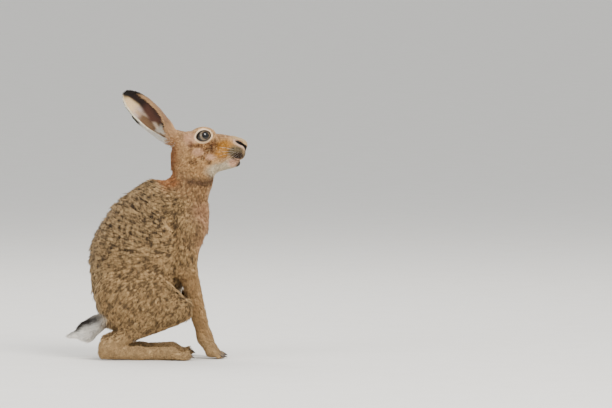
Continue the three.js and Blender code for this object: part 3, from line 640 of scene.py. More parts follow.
def hair_length(p, share):
    nose_to_cheek = np.interp(p[:, 0], [40, 78, 96, 108, 120], [1, 0.75, 0.52, 0.4, 0.32])
    on_head = smooth(282, 296, p[:, 2]) * smooth(5, 30, p[:, 0])
    length = ruled(share, "length") * (1 + on_head * (nose_to_cheek - 1))
    near_eye = np.linalg.norm(mirrored(p) - EYE, axis=1)
    length *= 0.4 + 0.6 * smooth(15, 26, near_eye)
    return length * (0.55 + 0.45 * smooth(8, 30, np.abs(thigh_edge(p))))


def thigh_edge(p):
    """Height over the line where the long hair of the haunch ends above the foot."""
    return np.where(p[:, 0] < 30, p[:, 2] - 34, 99.0)


def bare(p):
    """1 where no tufts grow: nostrils, the cleft of the lip, lids and soles."""
    q = mirrored(p)
    holes = np.minimum(np.minimum(nostril(q), lip_cleft(q)) - 1.0, eye_room(q) - 1.2)
    return np.maximum(1 - smooth(0, 1, holes), 1 - smooth(0.8, 2.5, p[:, 2]))


# The skin, one closed surface
fine = 1.45
coarse = 2.5
AXES = [
    np.concatenate([np.arange(-180, 8, coarse), np.arange(8, 130, fine)]),
    np.concatenate([-np.arange(34, 100, coarse)[::-1], np.arange(-34 + fine, 34, fine),
                    np.arange(34, 100, coarse)]),
    np.concatenate([np.arange(-4, 292, coarse), np.arange(292, 382, fine)]),
]
skin_points, skin_quads = surface_net(skin_field, AXES)
normals = unit(value_and_gradient(skin_field, skin_points)[1])
share = shares(skin_points)
lies = np.stack([unit(region["lie"](skin_points)) for region in REGIONS.values()])
lie = np.einsum("rn,rnk->nk", share, lies)
lie = unit(lie - (lie * normals).sum(1, keepdims=True) * normals)
lift = np.tan(np.radians(ruled(share, "lift")))[:, None]

skin = add_mesh("skin", place(skin_points), skin_quads)
mesh = skin.data
length = hair_length(skin_points, share)
way = lie + lift * normals
# No tip reaches below the floor
way[:, 2] = np.maximum(way[:, 2], (1.6 - skin_points[:, 2]) / length + 0.12)
# The shorter the hair, the closer the tufts stand
crowding = np.clip(5.0 / length, 1, 2.6)
store(mesh, "tint", "FLOAT_COLOR", markings(skin_points, share))
store(mesh, "way", "FLOAT_VECTOR", way)
store(mesh, "hair", "FLOAT", length * MM)
store(mesh, "growth", "FLOAT", (1 - bare(skin_points)) * crowding)

# Where each coat piece grows, by the region that rules a face of the skin and by its side
ZONES = ["face_left", "face_right", "neck", "chest", "back", "flank_left", "flank_right", "legs", "tail"]
centres = skin_points[skin_quads].mean(1)
rule = np.array(list(REGIONS))[shares(centres).argmax(0)]
zone_of = {"face": "face", "ear_root": "face", "neck": "neck", "breast": "chest", "shoulder": "chest",
           "forearm": "legs", "shank": "legs", "paw": "legs", "hind_foot": "legs", "tail": "tail"}
sideways = np.where(centres[:, 1] > 0, "flank_left", "flank_right")
sideways[(np.abs(centres[:, 1]) < 34) & (centres[:, 2] > 110)] = "back"
zones = [zone_of.get(name, at_side) for name, at_side in zip(rule, sideways)]
zones = [zone + ("_left" if y > 0 else "_right") if zone == "face" else zone
         for zone, y in zip(zones, centres[:, 1])]
store(mesh, "zone", "INT", [ZONES.index(zone) for zone in zones], "FACE")


def unwrap(piece):
    """An unwrap of the piece's own shape, named for baking."""
    piece.data.uv_layers.new(name="OFBake")
    bpy.context.view_layer.objects.active = piece
    piece.select_set(True)
    bpy.ops.object.mode_set(mode="EDIT")
    bpy.ops.mesh.select_all(action="SELECT")
    bpy.ops.uv.smart_project(angle_limit=math.radians(66), island_margin=0.002)
    bpy.ops.object.mode_set(mode="OBJECT")
    piece.select_set(False)


unwrap(skin)

# Ears: a cupped leaf on a short stem, as in the solids, with a thin wall and a soft rim
EARS = {
    "right": {"root": [2, -15, 354.5], "tip": [-72, -30, 426], "faces": [-0.12, -1, -0.2]},
    "left": {"root": [2, 15, 351], "tip": [-60, 46, 397], "faces": [-0.4, 1, -0.6]},
}
# Rows of a place, from 0 at the root to 1 at the tip, and the measure there: half width, depth and wall in
# millimetres, wrap in degrees, and from 0, filled, to 1, hollow
EAR_HALF_WIDTH = [[-0.12, 8], [0, 12], [0.2, 16.5], [0.42, 19.5], [0.65, 19.5], [0.82, 16.5], [0.93, 11.5],
                  [1, 5]]
EAR_DEPTH = [[-0.12, 8], [0, 11], [0.2, 12], [0.5, 12], [0.8, 8], [1, 2.5]]
EAR_WRAP = [[0, 165], [0.15, 145], [0.35, 116], [0.7, 100], [1, 84]]
EAR_CUP = [[0, 0], [0.12, 0], [0.3, 0.92], [0.5, 1]]
EAR_WALL = 1.5


def profile(rows, t):
    """The value between its rows, eased a little at each."""
    at, values = np.array(rows, float).T
    k = np.clip(np.searchsorted(at, t, side="right") - 1, 0, len(at) - 2)
    f = np.clip((t - at[k]) / (at[k + 1] - at[k]), 0, 1)
    ease = (f * f * (3 - 2 * f) + f) / 2
    return values[k] + ease * (values[k + 1] - values[k])


def mix(a, b, share):
    return a + np.asarray(share)[..., None] * (b - a)


EAR_COLOURS = {name: linear(code) for name, code in {
    # Painted shade inside the cup: the dark low part near the root, the brown and shade band behind the front
    # strip, and the tip's black where it fills the slit at the root. The black tip itself is the ear's own
    # colour.
    "low": "#6a5038", "vein": "#c4ae98", "middle": "#b3a098", "high": "#d9ba8c", "brown": "#54352a",
    "spot": "#b08e5f",
    "shade": "#241612", "front": "#c59c72", "rim": "#f0e4c8",
    "base": "#dbd0c0", "tip": "#15110f",
    "back_front": "#a17d60", "back_rear": "#cdc7bd", "back_grey": "#8d8984",
}.items()}


def ear_colour(t, s, inside):
    """The ear's colour, with painted shade inside its cup, by its place from root to tip (t) and from rear to
    front edge (s, -1 to 1).
    """
    c = EAR_COLOURS
    # Painted shade: the cup is darker towards the root, deep inside the ear
    cup = mix(c["low"], c["middle"], smooth(0.5, 0.62, t))
    fold = smooth(0.13, 0.04, np.abs(s + 0.1 + 0.9 * np.abs(t - 0.4)))
    cup = mix(cup, c["vein"], fold * smooth(0.58, 0.5, t) * 0.8)
    cup = mix(cup, c["spot"], smooth(0.2, 0.05, np.hypot(s + 0.42, 2.2 * (t - 0.61))) * 0.7)
    cup = mix(cup, c["high"], smooth(0.6, 0.74, t))
    cup = mix(cup, c["base"], smooth(0.26, 0.2, t) * smooth(-0.75, -0.35, s))
    start = np.interp(t, [0.1, 0.25, 0.37, 0.55, 0.7, 0.9], [0.18, 0.04, -0.3, -0.16, -0.06, -0.12])
    stop = np.interp(t, [0.1, 0.3, 0.5, 0.7, 0.9], [0.44, 0.46, 0.56, 0.68, 0.85])
    cup = mix(cup, c["front"], smooth(stop - 0.1, stop + 0.05, s))
    # Painted shade: a dark band behind the front strip, darkest next to it, where the curled front edge shades
    # the cup; towards the root it turns black, the shadowed slit over the ear's opening
    dark = mix(c["brown"], c["shade"], np.maximum(smooth(start + 0.15, stop, s), smooth(0.52, 0.68, t)))
    dark = mix(dark, c["tip"], smooth(0.3, 0.2, t))
    cup = mix(cup, dark, smooth(-0.1, 0.12, s - start) * smooth(0.06, -0.06, s - stop) * smooth(0.04, 0.1, t))
    cup = mix(cup, c["rim"], smooth(-0.72, -0.86, s) * smooth(0.1, 0.3, t))
    cup = mix(cup, c["tip"], smooth(0.84, 0.94, t + 0.1 * s))
    back = mix(c["back_rear"], c["back_front"], smooth(-0.2, 0.25, s))
    back = mix(back, c["back_grey"], smooth(0.22, 0.08, np.abs(s + 0.35)) * smooth(0.1, 0.3, t))
    back = mix(back, c["front"], smooth(0.25, 0.08, t) * smooth(-0.5, 0.1, s))
    back = mix(back, c["tip"], smooth(0.6, 0.72, t - 0.05 * s))
    return mix(back, cup, inside)


def make_ear(word, stations=60, arc=36):
    shape = EARS[word]
    root, tip = np.array(shape["root"], float), np.array(shape["tip"], float)
    length = np.linalg.norm(tip - root)
    along = (tip - root) / length
    faces = np.array(shape["faces"])
    opened = unit(faces - faces @ along * along)
    across = np.cross(along, opened)
    front = 1 if across[0] > 0 else -1
    t = np.linspace(-0.12, 1, stations + 1)
    w, d, cup = profile(EAR_HALF_WIDTH, t), profile(EAR_DEPTH, t), profile(EAR_CUP, t)
    wrap = np.radians(profile(EAR_WRAP, t))
    wall = np.minimum(EAR_WALL, 0.4 * np.minimum(w, d))
    bow = 5 * np.sin(np.pi * np.clip(t, 0, 1))
    centre = root + (t * length)[:, None] * along - bow[:, None] * opened
    s = np.linspace(-1, 1, arc + 1)
    a = wrap[:, None] * s
    outer = np.stack([w[:, None] * np.sin(a), -d[:, None] * np.cos(a)], -1)
    b = a * 0.965
    hollow = np.stack([(w - wall)[:, None] * np.sin(b), -(d - wall)[:, None] * np.cos(b)], -1)
    level = np.tile((0.3 - d * np.cos(wrap))[:, None], len(s))
    filled = np.stack([(w * np.sin(wrap))[:, None] * s * 0.96, level], -1)
    inner = filled + cup[:, None, None] * (hollow - filled)
    rims = []
    for edge in (-1, 0):
        middle = (outer[:, edge] + inner[:, edge]) / 2
        tangent = unit(outer[:, edge] - outer[:, (-3, 2)[edge]])
        rims.append(middle + tangent * wall[:, None] * 0.6 * cup[:, None])
    ring = np.concatenate([outer, rims[0][:, None], inner[:, ::-1], rims[1][:, None]], 1)
    around = np.concatenate([s, [1], s[::-1], [-1]]) * front
    inside = np.concatenate([np.zeros(arc + 1), [0.5], np.ones(arc + 1), [0.5]])
    points = centre[:, None] + ring[..., :1] * across + ring[..., 1:] * opened
    count = ring.shape[1]
    tt = np.repeat(t, count)
    ss, ii = np.tile(around, len(t)), np.tile(inside, len(t))
    points = points.reshape(-1, 3)
    quads = bands(stations, count)
    caps = []
    for i in (0, stations):
        row = [i * count + j for j in range(count)]
        for j in range(arc):
            quad = [row[j], row[j + 1], row[count - 3 - j], row[count - 2 - j]]
            caps.append(quad if i else quad[::-1])
        rear, ahead_rim = [row[0], row[count - 2], row[count - 1]], [row[arc], row[arc + 1], row[arc + 2]]
        caps += [rear if i else rear[::-1], ahead_rim if i else ahead_rim[::-1]]
    piece = add_mesh(f"ear_{word}_skin", place(points), quads + caps)
    mesh = piece.data
    upright = sum(p.normal.z * p.area * p.center.z for p in mesh.polygons)
    if upright < 0:
        mesh.flip_normals()
    mesh.update()
    out = np.array([v.normal for v in mesh.vertices])
    tint = np.concatenate([ear_colour(tt, ss, np.round(ii + 0.01)), np.full((len(tt), 1), 0.15)], 1)
    store(mesh, "tint", "FLOAT_COLOR", tint)
    fringe = (ii > 0.4) * smooth(0.42, 0.7, ss) * (1 - smooth(0.8, 0.92, tt))
    backwards = -across * front
    lie = along[None] + fringe[:, None] * 1.6 * backwards
    lie = unit(lie - (lie * out).sum(1, keepdims=True) * out)
    store(mesh, "way", "FLOAT_VECTOR", lie + np.tan(np.radians(14 + 12 * fringe))[:, None] * out)
    store(mesh, "hair", "FLOAT", (3.2 + 5.0 * fringe + 3.5 * (1 - smooth(0.05, 0.3, tt))) * MM)
    hairy = np.maximum(1 - ii, np.maximum(fringe, (1 - smooth(-0.9, -0.75, ss)) * 0.7))
    hairy = np.maximum(hairy, 1 - smooth(0.15, 0.3, tt))
    store(mesh, "growth", "FLOAT", hairy)
    store(mesh, "zone", "INT", np.zeros(len(mesh.polygons)), "FACE")
    unwrap(piece)
    return piece


# Lids: a rolled rim on the eyeball that runs out into the skin. Its edge is bare and dark, then pale fur.
# How far each row of the lid lies outside the opening's edge, and how far it stands over the ball or the skin
LID_REACH = [-0.35, 0.0, 0.5, 1.1, 1.8, 2.6, 3.5, 4.6, 5.8]
LID_RISE = [0.1, 0.6, 0.95, 1.05, 0.95, 0.6, 0.2, -0.3, -1.1]
LID_WALL = 1.3


def height_over_eye(offset):
    """How far along the gaze the uncut skin lies, at an offset across the eye."""
    height = np.full(len(offset), 10.0)
    for _ in range(12):
        height -= 0.7 * body_field(EYE + offset + height[:, None] * GAZE)
    return height


def make_lids(word, steps=96):
    side = SIDES[word]
    angle = np.linspace(0, 2 * np.pi, steps, endpoint=False)
    edge = opening(angle)
    outward = unit(edge)
    on_ball = np.sqrt((EYE_RADIUS + 0.3) ** 2 - (edge ** 2).sum(1))
    rows = []
    for reach, rise in zip(LID_REACH, LID_RISE):
        offset = edge + reach * outward
        share = smooth(0.4, 3.4, reach)
        height = (1 - share) * on_ball + share * height_over_eye(offset) + rise
        rows.append(EYE + offset + height[:, None] * GAZE)
    under = [row - LID_WALL * GAZE for row in rows[::-1]]
    ring = len(rows) * 2
    points = np.stack(rows + under, 1).reshape(-1, 3)
    piece = add_mesh(f"eyelids_{word}_skin", place(points * [1, side, 1]), bands(steps, ring, closed=True))
    reach = np.tile(LID_REACH + LID_REACH[::-1], steps)
    fur = markings(points, shares(points))
    bare_edge = np.append(linear("#1f1713"), 0)
    lid = mix(np.tile(COLOURS["ring"], (len(points), 1)), fur, smooth(2.6, 4.4, reach))
    lid = mix(lid, bare_edge, smooth(2.1, 1.3, reach))
    store(piece.data, "tint", "FLOAT_COLOR", lid)
    outward_faces(piece)
    return piece


def outward_faces(piece):
    """Turns a closed piece's faces outwards."""
    work = bmesh.new()
    work.from_mesh(piece.data)
    bmesh.ops.recalc_face_normals(work, faces=work.faces)
    work.to_mesh(piece.data)
    work.free()


# Eyes: a ball with a slight swell of the clear front, and each point's place round the gaze
def make_eye(word, rings=40, segments=48):
    side = SIDES[word]
    polar = np.linspace(0, np.pi, rings + 1)[1:-1]
    turn = np.linspace(0, 2 * np.pi, segments, endpoint=False)
    swell = EYE_RADIUS + EYE_SWELL * (1 - smooth(0.3, 0.75, polar))
    c, s = np.cos(polar) * swell, np.sin(polar) * swell
    across = (s[:, None] * np.cos(turn))[..., None] * AHEAD + (s[:, None] * np.sin(turn))[..., None] * UPWARD
    points = EYE + across + (c[:, None] * np.ones(segments))[..., None] * GAZE
    poles = [EYE + (EYE_RADIUS + EYE_SWELL) * GAZE, EYE - EYE_RADIUS * GAZE]
    points = np.concatenate([points.reshape(-1, 3), poles])
    quads = bands(rings - 2, segments)
    front, back, last = len(points) - 2, len(points) - 1, (rings - 2) * segments
    quads += [[front, j, (j + 1) % segments] for j in range(segments)]
    quads += [[back, last + (j + 1) % segments, last + j] for j in range(segments)]
    piece = add_mesh(f"eye_{word}_ball", place(points * [1, side, 1]), quads)
    look = unit(GAZE + 0.26 * AHEAD)
    level = unit(AHEAD - AHEAD @ look * look)
    d = points - EYE
    place_round = np.stack([d @ level, d @ np.cross(level, look), d @ look], 1)
    store(piece.data, "iris_place", "FLOAT_VECTOR", place_round)
    outward_faces(piece)
    return piece


# Claws: curved cones at the ends of the toes
def make_claws(length=11, thick=2.1, steps=7, ring=10):
    points, faces = [], []
    for toe in (FORE_TOE, HIND_TOE):
        for side in SIDES.values():
            for i in range(TOES):
                start, end = toe_line(toe, i)
                heading = math.atan2(end[1] - start[1], end[0] - start[0]) * side
                base = np.array([end[0] + toe["radius"] * 0.95, end[1] * side, end[2] + 0.6])
                first = len(points)
                for k in range(steps):
                    u = k / steps
                    droop = 0.1 + 0.75 * u
                    run = length * (u - 0.5)
                    middle = [run * math.cos(heading), run * math.sin(heading),
                              -0.4 * run - 1.1 * u * u + 0.4]
                    radius = thick * (1 - u ** 1.6) ** 0.8
                    for j in range(ring):
                        a = 2 * math.pi * j / ring
                        lateral, up = 0.72 * radius * math.cos(a), radius * math.sin(a)
                        forward = -lateral * math.sin(heading) + up * math.sin(droop) * math.cos(heading)
                        rim = [forward, lateral * math.cos(heading), up * math.cos(droop)]
                        points.append(base + middle + rim)
                tip = length * 0.5
                points.append(base + [tip * math.cos(heading), tip * math.sin(heading), -0.4 * tip - 0.7])
                end_point = len(points) - 1
                faces += [[first + corner for corner in quad] for quad in bands(steps - 1, ring)]
                last = first + (steps - 1) * ring
                faces += [[last + j, last + (j + 1) % ring, end_point] for j in range(ring)]
                faces.append([first + j for j in range(ring)][::-1])
    points = np.array(points)
    points[:, 2] = np.maximum(points[:, 2], 0.3)
    piece = add_mesh("claws", place(points), faces)
    outward_faces(piece)
    return piece


# Materials
def material(name):
    made = bpy.data.materials.new(name)
    made.use_nodes = True
    tree = made.node_tree
    return made, tree, tree.nodes["Principled BSDF"]


def rgba(code):
    return (*linear(code), 1.0)


def span(value, low, high, to_low=0.0, to_high=1.0):
    """What a Map Range node takes: a value, the two ends it runs between, and what each end gives."""
    return {"Value": value, "From Min": low, "From Max": high, "To Min": to_low, "To Max": to_high}


def between(a, b, share):
    """What a Mix node for colours takes: the first and second colour, and the share of the second."""
    return {6: a, 7: b, 0: share}


SOFT = {"interpolation_type": "SMOOTHSTEP"}
COLOUR, MIXED = {"data_type": "RGBA"}, 2


def grain(tree, size, detail=2.0, drawn=1.0):
    """Noise whose lumps are about `size` millimetres across, and longer up and down if drawn is under 1."""
    at = add(tree, "ShaderNodeTexCoord")["Object"]
    at = add(tree, "ShaderNodeVectorMath", {0: at, 1: (1, 1, drawn)}, operation="MULTIPLY")["Vector"]
    return add(tree, "ShaderNodeTexNoise", {"Vector": at, "Scale": 1 / (size * MM), "Detail": detail})["Fac"]


DARK_HAIR, BUFF_HAIR = rgba("#2a1d12"), rgba("#dcb984")


def grizzled(tree, tint, speck):
    """The coat's tint broken into dark and buff hairs as strongly as its alpha says."""
    parts = [add(tree, "ShaderNodeMath", {0: value, 1: share}, operation="MULTIPLY")[0] for value, share in
             ((grain(tree, 6.5, drawn=0.5), 0.7), (grain(tree, 2.6, drawn=0.5), 0.5), (speck, 0.4))]
    lumps = add(tree, "ShaderNodeMath", {0: parts[0], 1: parts[1]}, operation="ADD")[0]
    lumps = add(tree, "ShaderNodeMath", {0: lumps, 1: parts[2]}, operation="ADD")[0]

    def hairs(low, high, most):
        """How strongly one kind of hair shows, by the lumps and the grizzle."""
        amount = add(tree, "ShaderNodeMapRange", span(lumps, low, high), **SOFT)["Result"]
        amount = add(tree, "ShaderNodeMath", {0: amount, 1: tint["Alpha"]}, operation="MULTIPLY")[0]
        return add(tree, "ShaderNodeMath", {0: amount, 1: most}, operation="MULTIPLY")[0]

    colour = add(tree, "ShaderNodeMix", between(tint["Color"], BUFF_HAIR, hairs(0.82, 0.62, 0.6)), **COLOUR)
    own_dark = add(tree, "ShaderNodeMix", between(DARK_HAIR, tint["Color"], 0.25), **COLOUR)
    full = add(tree, "ShaderNodeMapRange", span(tint["Alpha"], 0.6, 1.0), **SOFT)["Result"]
    shade = add(tree, "ShaderNodeMix", between(own_dark[MIXED], DARK_HAIR, full), **COLOUR)
    result = between(colour[MIXED], shade[MIXED], hairs(0.78, 0.95, 0.95))
    return add(tree, "ShaderNodeMix", result, **COLOUR)[MIXED]


def skin_material():
    """Short fur that lies flat: no gloss, a soft edge, and a fine ruffle that catches the light."""
    made, tree, shader = material("fur_short_flat")
    tint = add(tree, "ShaderNodeAttribute", attribute_name="tint")
    colour = grizzled(tree, tint, grain(tree, 2.2))
    # Real hairs are far under 0.1 mm across and would not show, so the ruffle is drawn about 1 mm coarse
    fine_hair = grain(tree, 0.9, 3)
    shade = add(tree, "ShaderNodeMapRange", span(fine_hair, 0.3, 0.7, 0.66, 1.0), **SOFT)["Result"]
    colour = add(tree, "ShaderNodeVectorMath", {0: colour, "Scale": shade}, operation="SCALE")["Vector"]
    tree.links.new(colour, shader.inputs["Base Color"])
    bump = add(tree, "ShaderNodeBump", {"Height": fine_hair, "Strength": 0.5, "Distance": 0.0006})
    tree.links.new(bump["Normal"], shader.inputs["Normal"])
    shader.inputs["Roughness"].default_value = 0.92
    shader.inputs["Specular IOR Level"].default_value = 0.15
    shader.inputs["Sheen Weight"].default_value = 0.08
    return made


def coat_material():
    """Guard hairs in tufts: dark at the root, coloured along, banded near the tip on the back."""
    made, tree, shader = material("fur_tufts_banded")
    tint = add(tree, "ShaderNodeAttribute", attribute_name="tint")
    speck = add(tree, "ShaderNodeAttribute", attribute_name="speck")["Fac"]
    blade = add(tree, "ShaderNodeAttribute", attribute_name="blade")["Vector"]
    along = add(tree, "ShaderNodeSeparateXYZ", {0: blade})["Y"]
    colour = grizzled(tree, tint, speck)
    # The root's shadow is deeper where the coat is grizzled
    deep = add(tree, "ShaderNodeMath", {0: tint["Alpha"], 1: 0.28}, operation="MULTIPLY")[0]
    deep = add(tree, "ShaderNodeMath", {0: deep, 1: 0.12}, operation="ADD")[0]
    root = add(tree, "ShaderNodeMapRange", span(along, 0.65, 0.0), **SOFT)["Result"]
    root = add(tree, "ShaderNodeMath", {0: root, 1: deep}, operation="MULTIPLY")[0]
    root = add(tree, "ShaderNodeMath", {0: 1.0, 1: root}, operation="SUBTRACT")[0]
    own = add(tree, "ShaderNodeMapRange", span(speck, 0.0, 1.0, 0.86, 1.12), **SOFT)["Result"]
    shade = add(tree, "ShaderNodeMath", {0: root, 1: own}, operation="MULTIPLY")[0]
    colour = add(tree, "ShaderNodeVectorMath", {0: colour, "Scale": shade}, operation="SCALE")["Vector"]
    # About half of the tufts have a dark tip
    tip = add(tree, "ShaderNodeMapRange", span(along, 0.72, 0.9), **SOFT)["Result"]
    dark_ones = add(tree, "ShaderNodeMapRange", span(speck, 0.45, 0.6), **SOFT)["Result"]
    for share in (dark_ones, tint["Alpha"], 0.8):
        tip = add(tree, "ShaderNodeMath", {0: tip, 1: share}, operation="MULTIPLY")[0]
    colour = add(tree, "ShaderNodeMix", between(colour, DARK_HAIR, tip), **COLOUR)[MIXED]
    tree.links.new(colour, shader.inputs["Base Color"])
    shader.inputs["Roughness"].default_value = 0.7
    shader.inputs["Specular IOR Level"].default_value = 0.25
    return made


def ear_material():
    """Thin skin under velvet-short fur: matt, with faint grain."""
    made, tree, shader = material("ear_velvet_skin")
    tint = add(tree, "ShaderNodeAttribute", attribute_name="tint")["Color"]
    shade = add(tree, "ShaderNodeMapRange", span(grain(tree, 1.6, 3), 0.3, 0.7, 0.82, 1.06), **SOFT)["Result"]
    colour = add(tree, "ShaderNodeVectorMath", {0: tint, "Scale": shade}, operation="SCALE")["Vector"]
    tree.links.new(colour, shader.inputs["Base Color"])
    bump = add(tree, "ShaderNodeBump", {"Height": grain(tree, 0.8), "Strength": 0.4, "Distance": 0.0004})
    tree.links.new(bump["Normal"], shader.inputs["Normal"])
    shader.inputs["Roughness"].default_value = 0.8
    shader.inputs["Specular IOR Level"].default_value = 0.25
    shader.inputs["Subsurface Weight"].default_value = 0.08
    shader.inputs["Subsurface Scale"].default_value = 0.002
    return made


def lid_material():
    """Lids: a bare moist edge, then the shortest fur on the animal."""
    made, tree, shader = material("lid_skin_moist_edge")
    tint = add(tree, "ShaderNodeAttribute", attribute_name="tint")["Color"]
    shade = add(tree, "ShaderNodeMapRange", span(grain(tree, 0.8), 0.3, 0.7, 0.85, 1.05), **SOFT)["Result"]
    colour = add(tree, "ShaderNodeVectorMath", {0: tint, "Scale": shade}, operation="SCALE")["Vector"]
    tree.links.new(colour, shader.inputs["Base Color"])
    bump = add(tree, "ShaderNodeBump", {"Height": grain(tree, 0.6), "Strength": 0.35, "Distance": 0.0003})
    tree.links.new(bump["Normal"], shader.inputs["Normal"])
    shader.inputs["Roughness"].default_value = 0.6
    return made


# Radii on the ball, in millimetres
PUPIL, IRIS = 5.9, 9.8


def eye_material():
    """A wet eye: a large black pupil, a grey-brown iris with fine spokes, a dark edge and a clear gloss."""
    made, tree, shader = material("eye_wet_amber")
    spot = add(tree, "ShaderNodeAttribute", attribute_name="iris_place")["Vector"]
    flat = add(tree, "ShaderNodeVectorMath", {0: spot, 1: (1, 1, 0)}, operation="MULTIPLY")["Vector"]
    radius = add(tree, "ShaderNodeVectorMath", {0: flat}, operation="LENGTH")["Value"]
    direction = add(tree, "ShaderNodeVectorMath", {0: flat}, operation="NORMALIZE")["Vector"]
    # Noise on the direction alone gives spokes, about 1 mm apart at the rim
    spokes = add(tree, "ShaderNodeTexNoise", {"Vector": direction, "Scale": 9.0, "Detail": 4.0})["Fac"]
    colour = rgba("#33261a")
    for code, reach in (("#6e5a3f", span(spokes, 0.35, 0.65)),
                        ("#7c6f5c", span(radius, PUPIL, IRIS * 0.8, 0.0, 0.55)),
                        ("#1a130d", span(radius, IRIS * 0.8, IRIS))):
        share = add(tree, "ShaderNodeMapRange", reach, **SOFT)["Result"]
        colour = add(tree, "ShaderNodeMix", between(colour, rgba(code), share), **COLOUR)[MIXED]
    share = add(tree, "ShaderNodeMapRange", span(radius, PUPIL - 0.4, PUPIL + 0.4), **SOFT)["Result"]
    colour = add(tree, "ShaderNodeMix", between(rgba("#060504"), colour, share), **COLOUR)[MIXED]
    tree.links.new(colour, shader.inputs["Base Color"])
    shader.inputs["Roughness"].default_value = 0.06
    shader.inputs["IOR"].default_value = 1.38
    shader.inputs["Coat Weight"].default_value = 0.2
    shader.inputs["Coat Roughness"].default_value = 0.03
    return made


def claw_material():
    """Dark horn with fine paler patches, and a dull shine."""
    made, tree, shader = material("claw_horn")
    streaks = add(tree, "ShaderNodeMapRange", span(grain(tree, 1.5), 0.4, 0.8), **SOFT)["Result"]
    colour = between(rgba("#2a211b"), rgba("#6b5a49"), streaks)
    colour = add(tree, "ShaderNodeMix", colour, **COLOUR)[MIXED]
    tree.links.new(colour, shader.inputs["Base Color"])
    shader.inputs["Roughness"].default_value = 0.42
    return made


def whisker_material():
    """Keratin: stiff pale hairs, darker in stretches, with a slight shine."""
    made, tree, shader = material("whisker_keratin")
    stretches = add(tree, "ShaderNodeMapRange", span(grain(tree, 9), 0.45, 0.8), **SOFT)["Result"]
    colour = between(rgba("#d8cbb8"), rgba("#4f4237"), stretches)
    colour = add(tree, "ShaderNodeMix", colour, **COLOUR)[MIXED]
    tree.links.new(colour, shader.inputs["Base Color"])
    shader.inputs["Roughness"].default_value = 0.45
    return made


FUR = skin_material()
TUFTS = coat_material()
EAR_SKIN = ear_material()

LIMB_NODES = ("upper_foreleg", "forearm", "forepaw", "thigh", "hind_foot")
FLESH = ["head", "muzzle", "lower_jaw", "neck", "torso", "tail"]
FLESH += [f"{part}_{word}" for part in LIMB_NODES for word in SIDES]
skin.data.materials.append(FUR)
finish_piece(skin, "coat_back", FLESH)

ears = {word: make_ear(word) for word in EARS}
for word, piece in ears.items():
    piece.data.materials.append(EAR_SKIN)
    finish_piece(piece, "ear", [f"ear_{word}"])
LID, EYE_WET = lid_material(), eye_material()
for word in SIDES:
    lids, ball = make_lids(word), make_eye(word)
    lids.data.materials.append(LID)
    ball.data.materials.append(EYE_WET)
    finish_piece(lids, "lid", [f"eyelids_{word}"])
    finish_piece(ball, "eye", [f"eye_{word}"])
claws = make_claws()
claws.data.materials.append(claw_material())
finish_piece(claws, "claw")


# Tufts: closed, tapered blades that spring from one root. Lengths are shares of the hair's length and
# widths are shares of the tuft's width.
def make_tuft(name, blades, thick):
    points, faces, places = [], [], []
    for number, (size, offset, splay, arch) in enumerate(blades):
        first = len(points)
        for s, width in ((-0.08, 0.75), (0.42, 1.0)):
            z = s * size
            x = arch * math.sin(math.pi * max(s, 0))
            y = offset + splay * max(s, 0)
            for dx, dy in ((-thick, -width / 2), (-thick, width / 2), (thick, 0)):
                points.append((x + dx, y + dy, z))
                places.append(((number + 0.5 + dy / 2) / len(blades), max(s, 0)))
        points.append((-0.03 * size, offset + splay, size))
        places.append(((number + 0.5) / len(blades), 1))
        a = first
        faces.append((a, a + 1, a + 2))
        for j in range(3):
            k = (j + 1) % 3
            faces += [(a + j, a + 3 + j, a + 3 + k, a + k), (a + 3 + j, a + 6, a + 3 + k)]
    piece = add_mesh(name, points, faces)
    outward_faces(piece)
    layer = piece.data.uv_layers.new(name="blade")
    spots = np.array(places, np.float32)[[loop.vertex_index for loop in piece.data.loops]]
    layer.data.foreach_set("uv", spots.ravel())
    return piece


THREE_BLADES = [(1.0, 0.0, 0.3, 0.06), (0.86, -0.75, -0.8, 0.09), (0.72, 0.8, 0.9, 0.04)]
TWO_BLADES = [(1.0, -0.4, -0.3, 0.05), (0.8, 0.5, 0.6, 0.07)]

# The side of the patch of the bake that each tuft is spread over
OFBAKE_PATCH = 0.003


def new_tree(name, result, inputs):
    """An empty Geometry Nodes tree with its named inputs, and one geometry as its result."""
    tree = bpy.data.node_groups.new(name, "GeometryNodeTree")
    for label, kind in inputs.items():
        tree.interface.new_socket(label, in_out="INPUT", socket_type="NodeSocket" + kind)
    tree.interface.new_socket(result, in_out="OUTPUT", socket_type="NodeSocketGeometry")
    return tree, add(tree, "NodeGroupInput")


def stored(tree, **kinds):
    """The attributes that a mesh carries, each by its name and kind."""
    return {name: add(tree, "GeometryNodeInputNamedAttribute", {"Name": name}, data_type=kind)["Attribute"]
            for name, kind in kinds.items()}


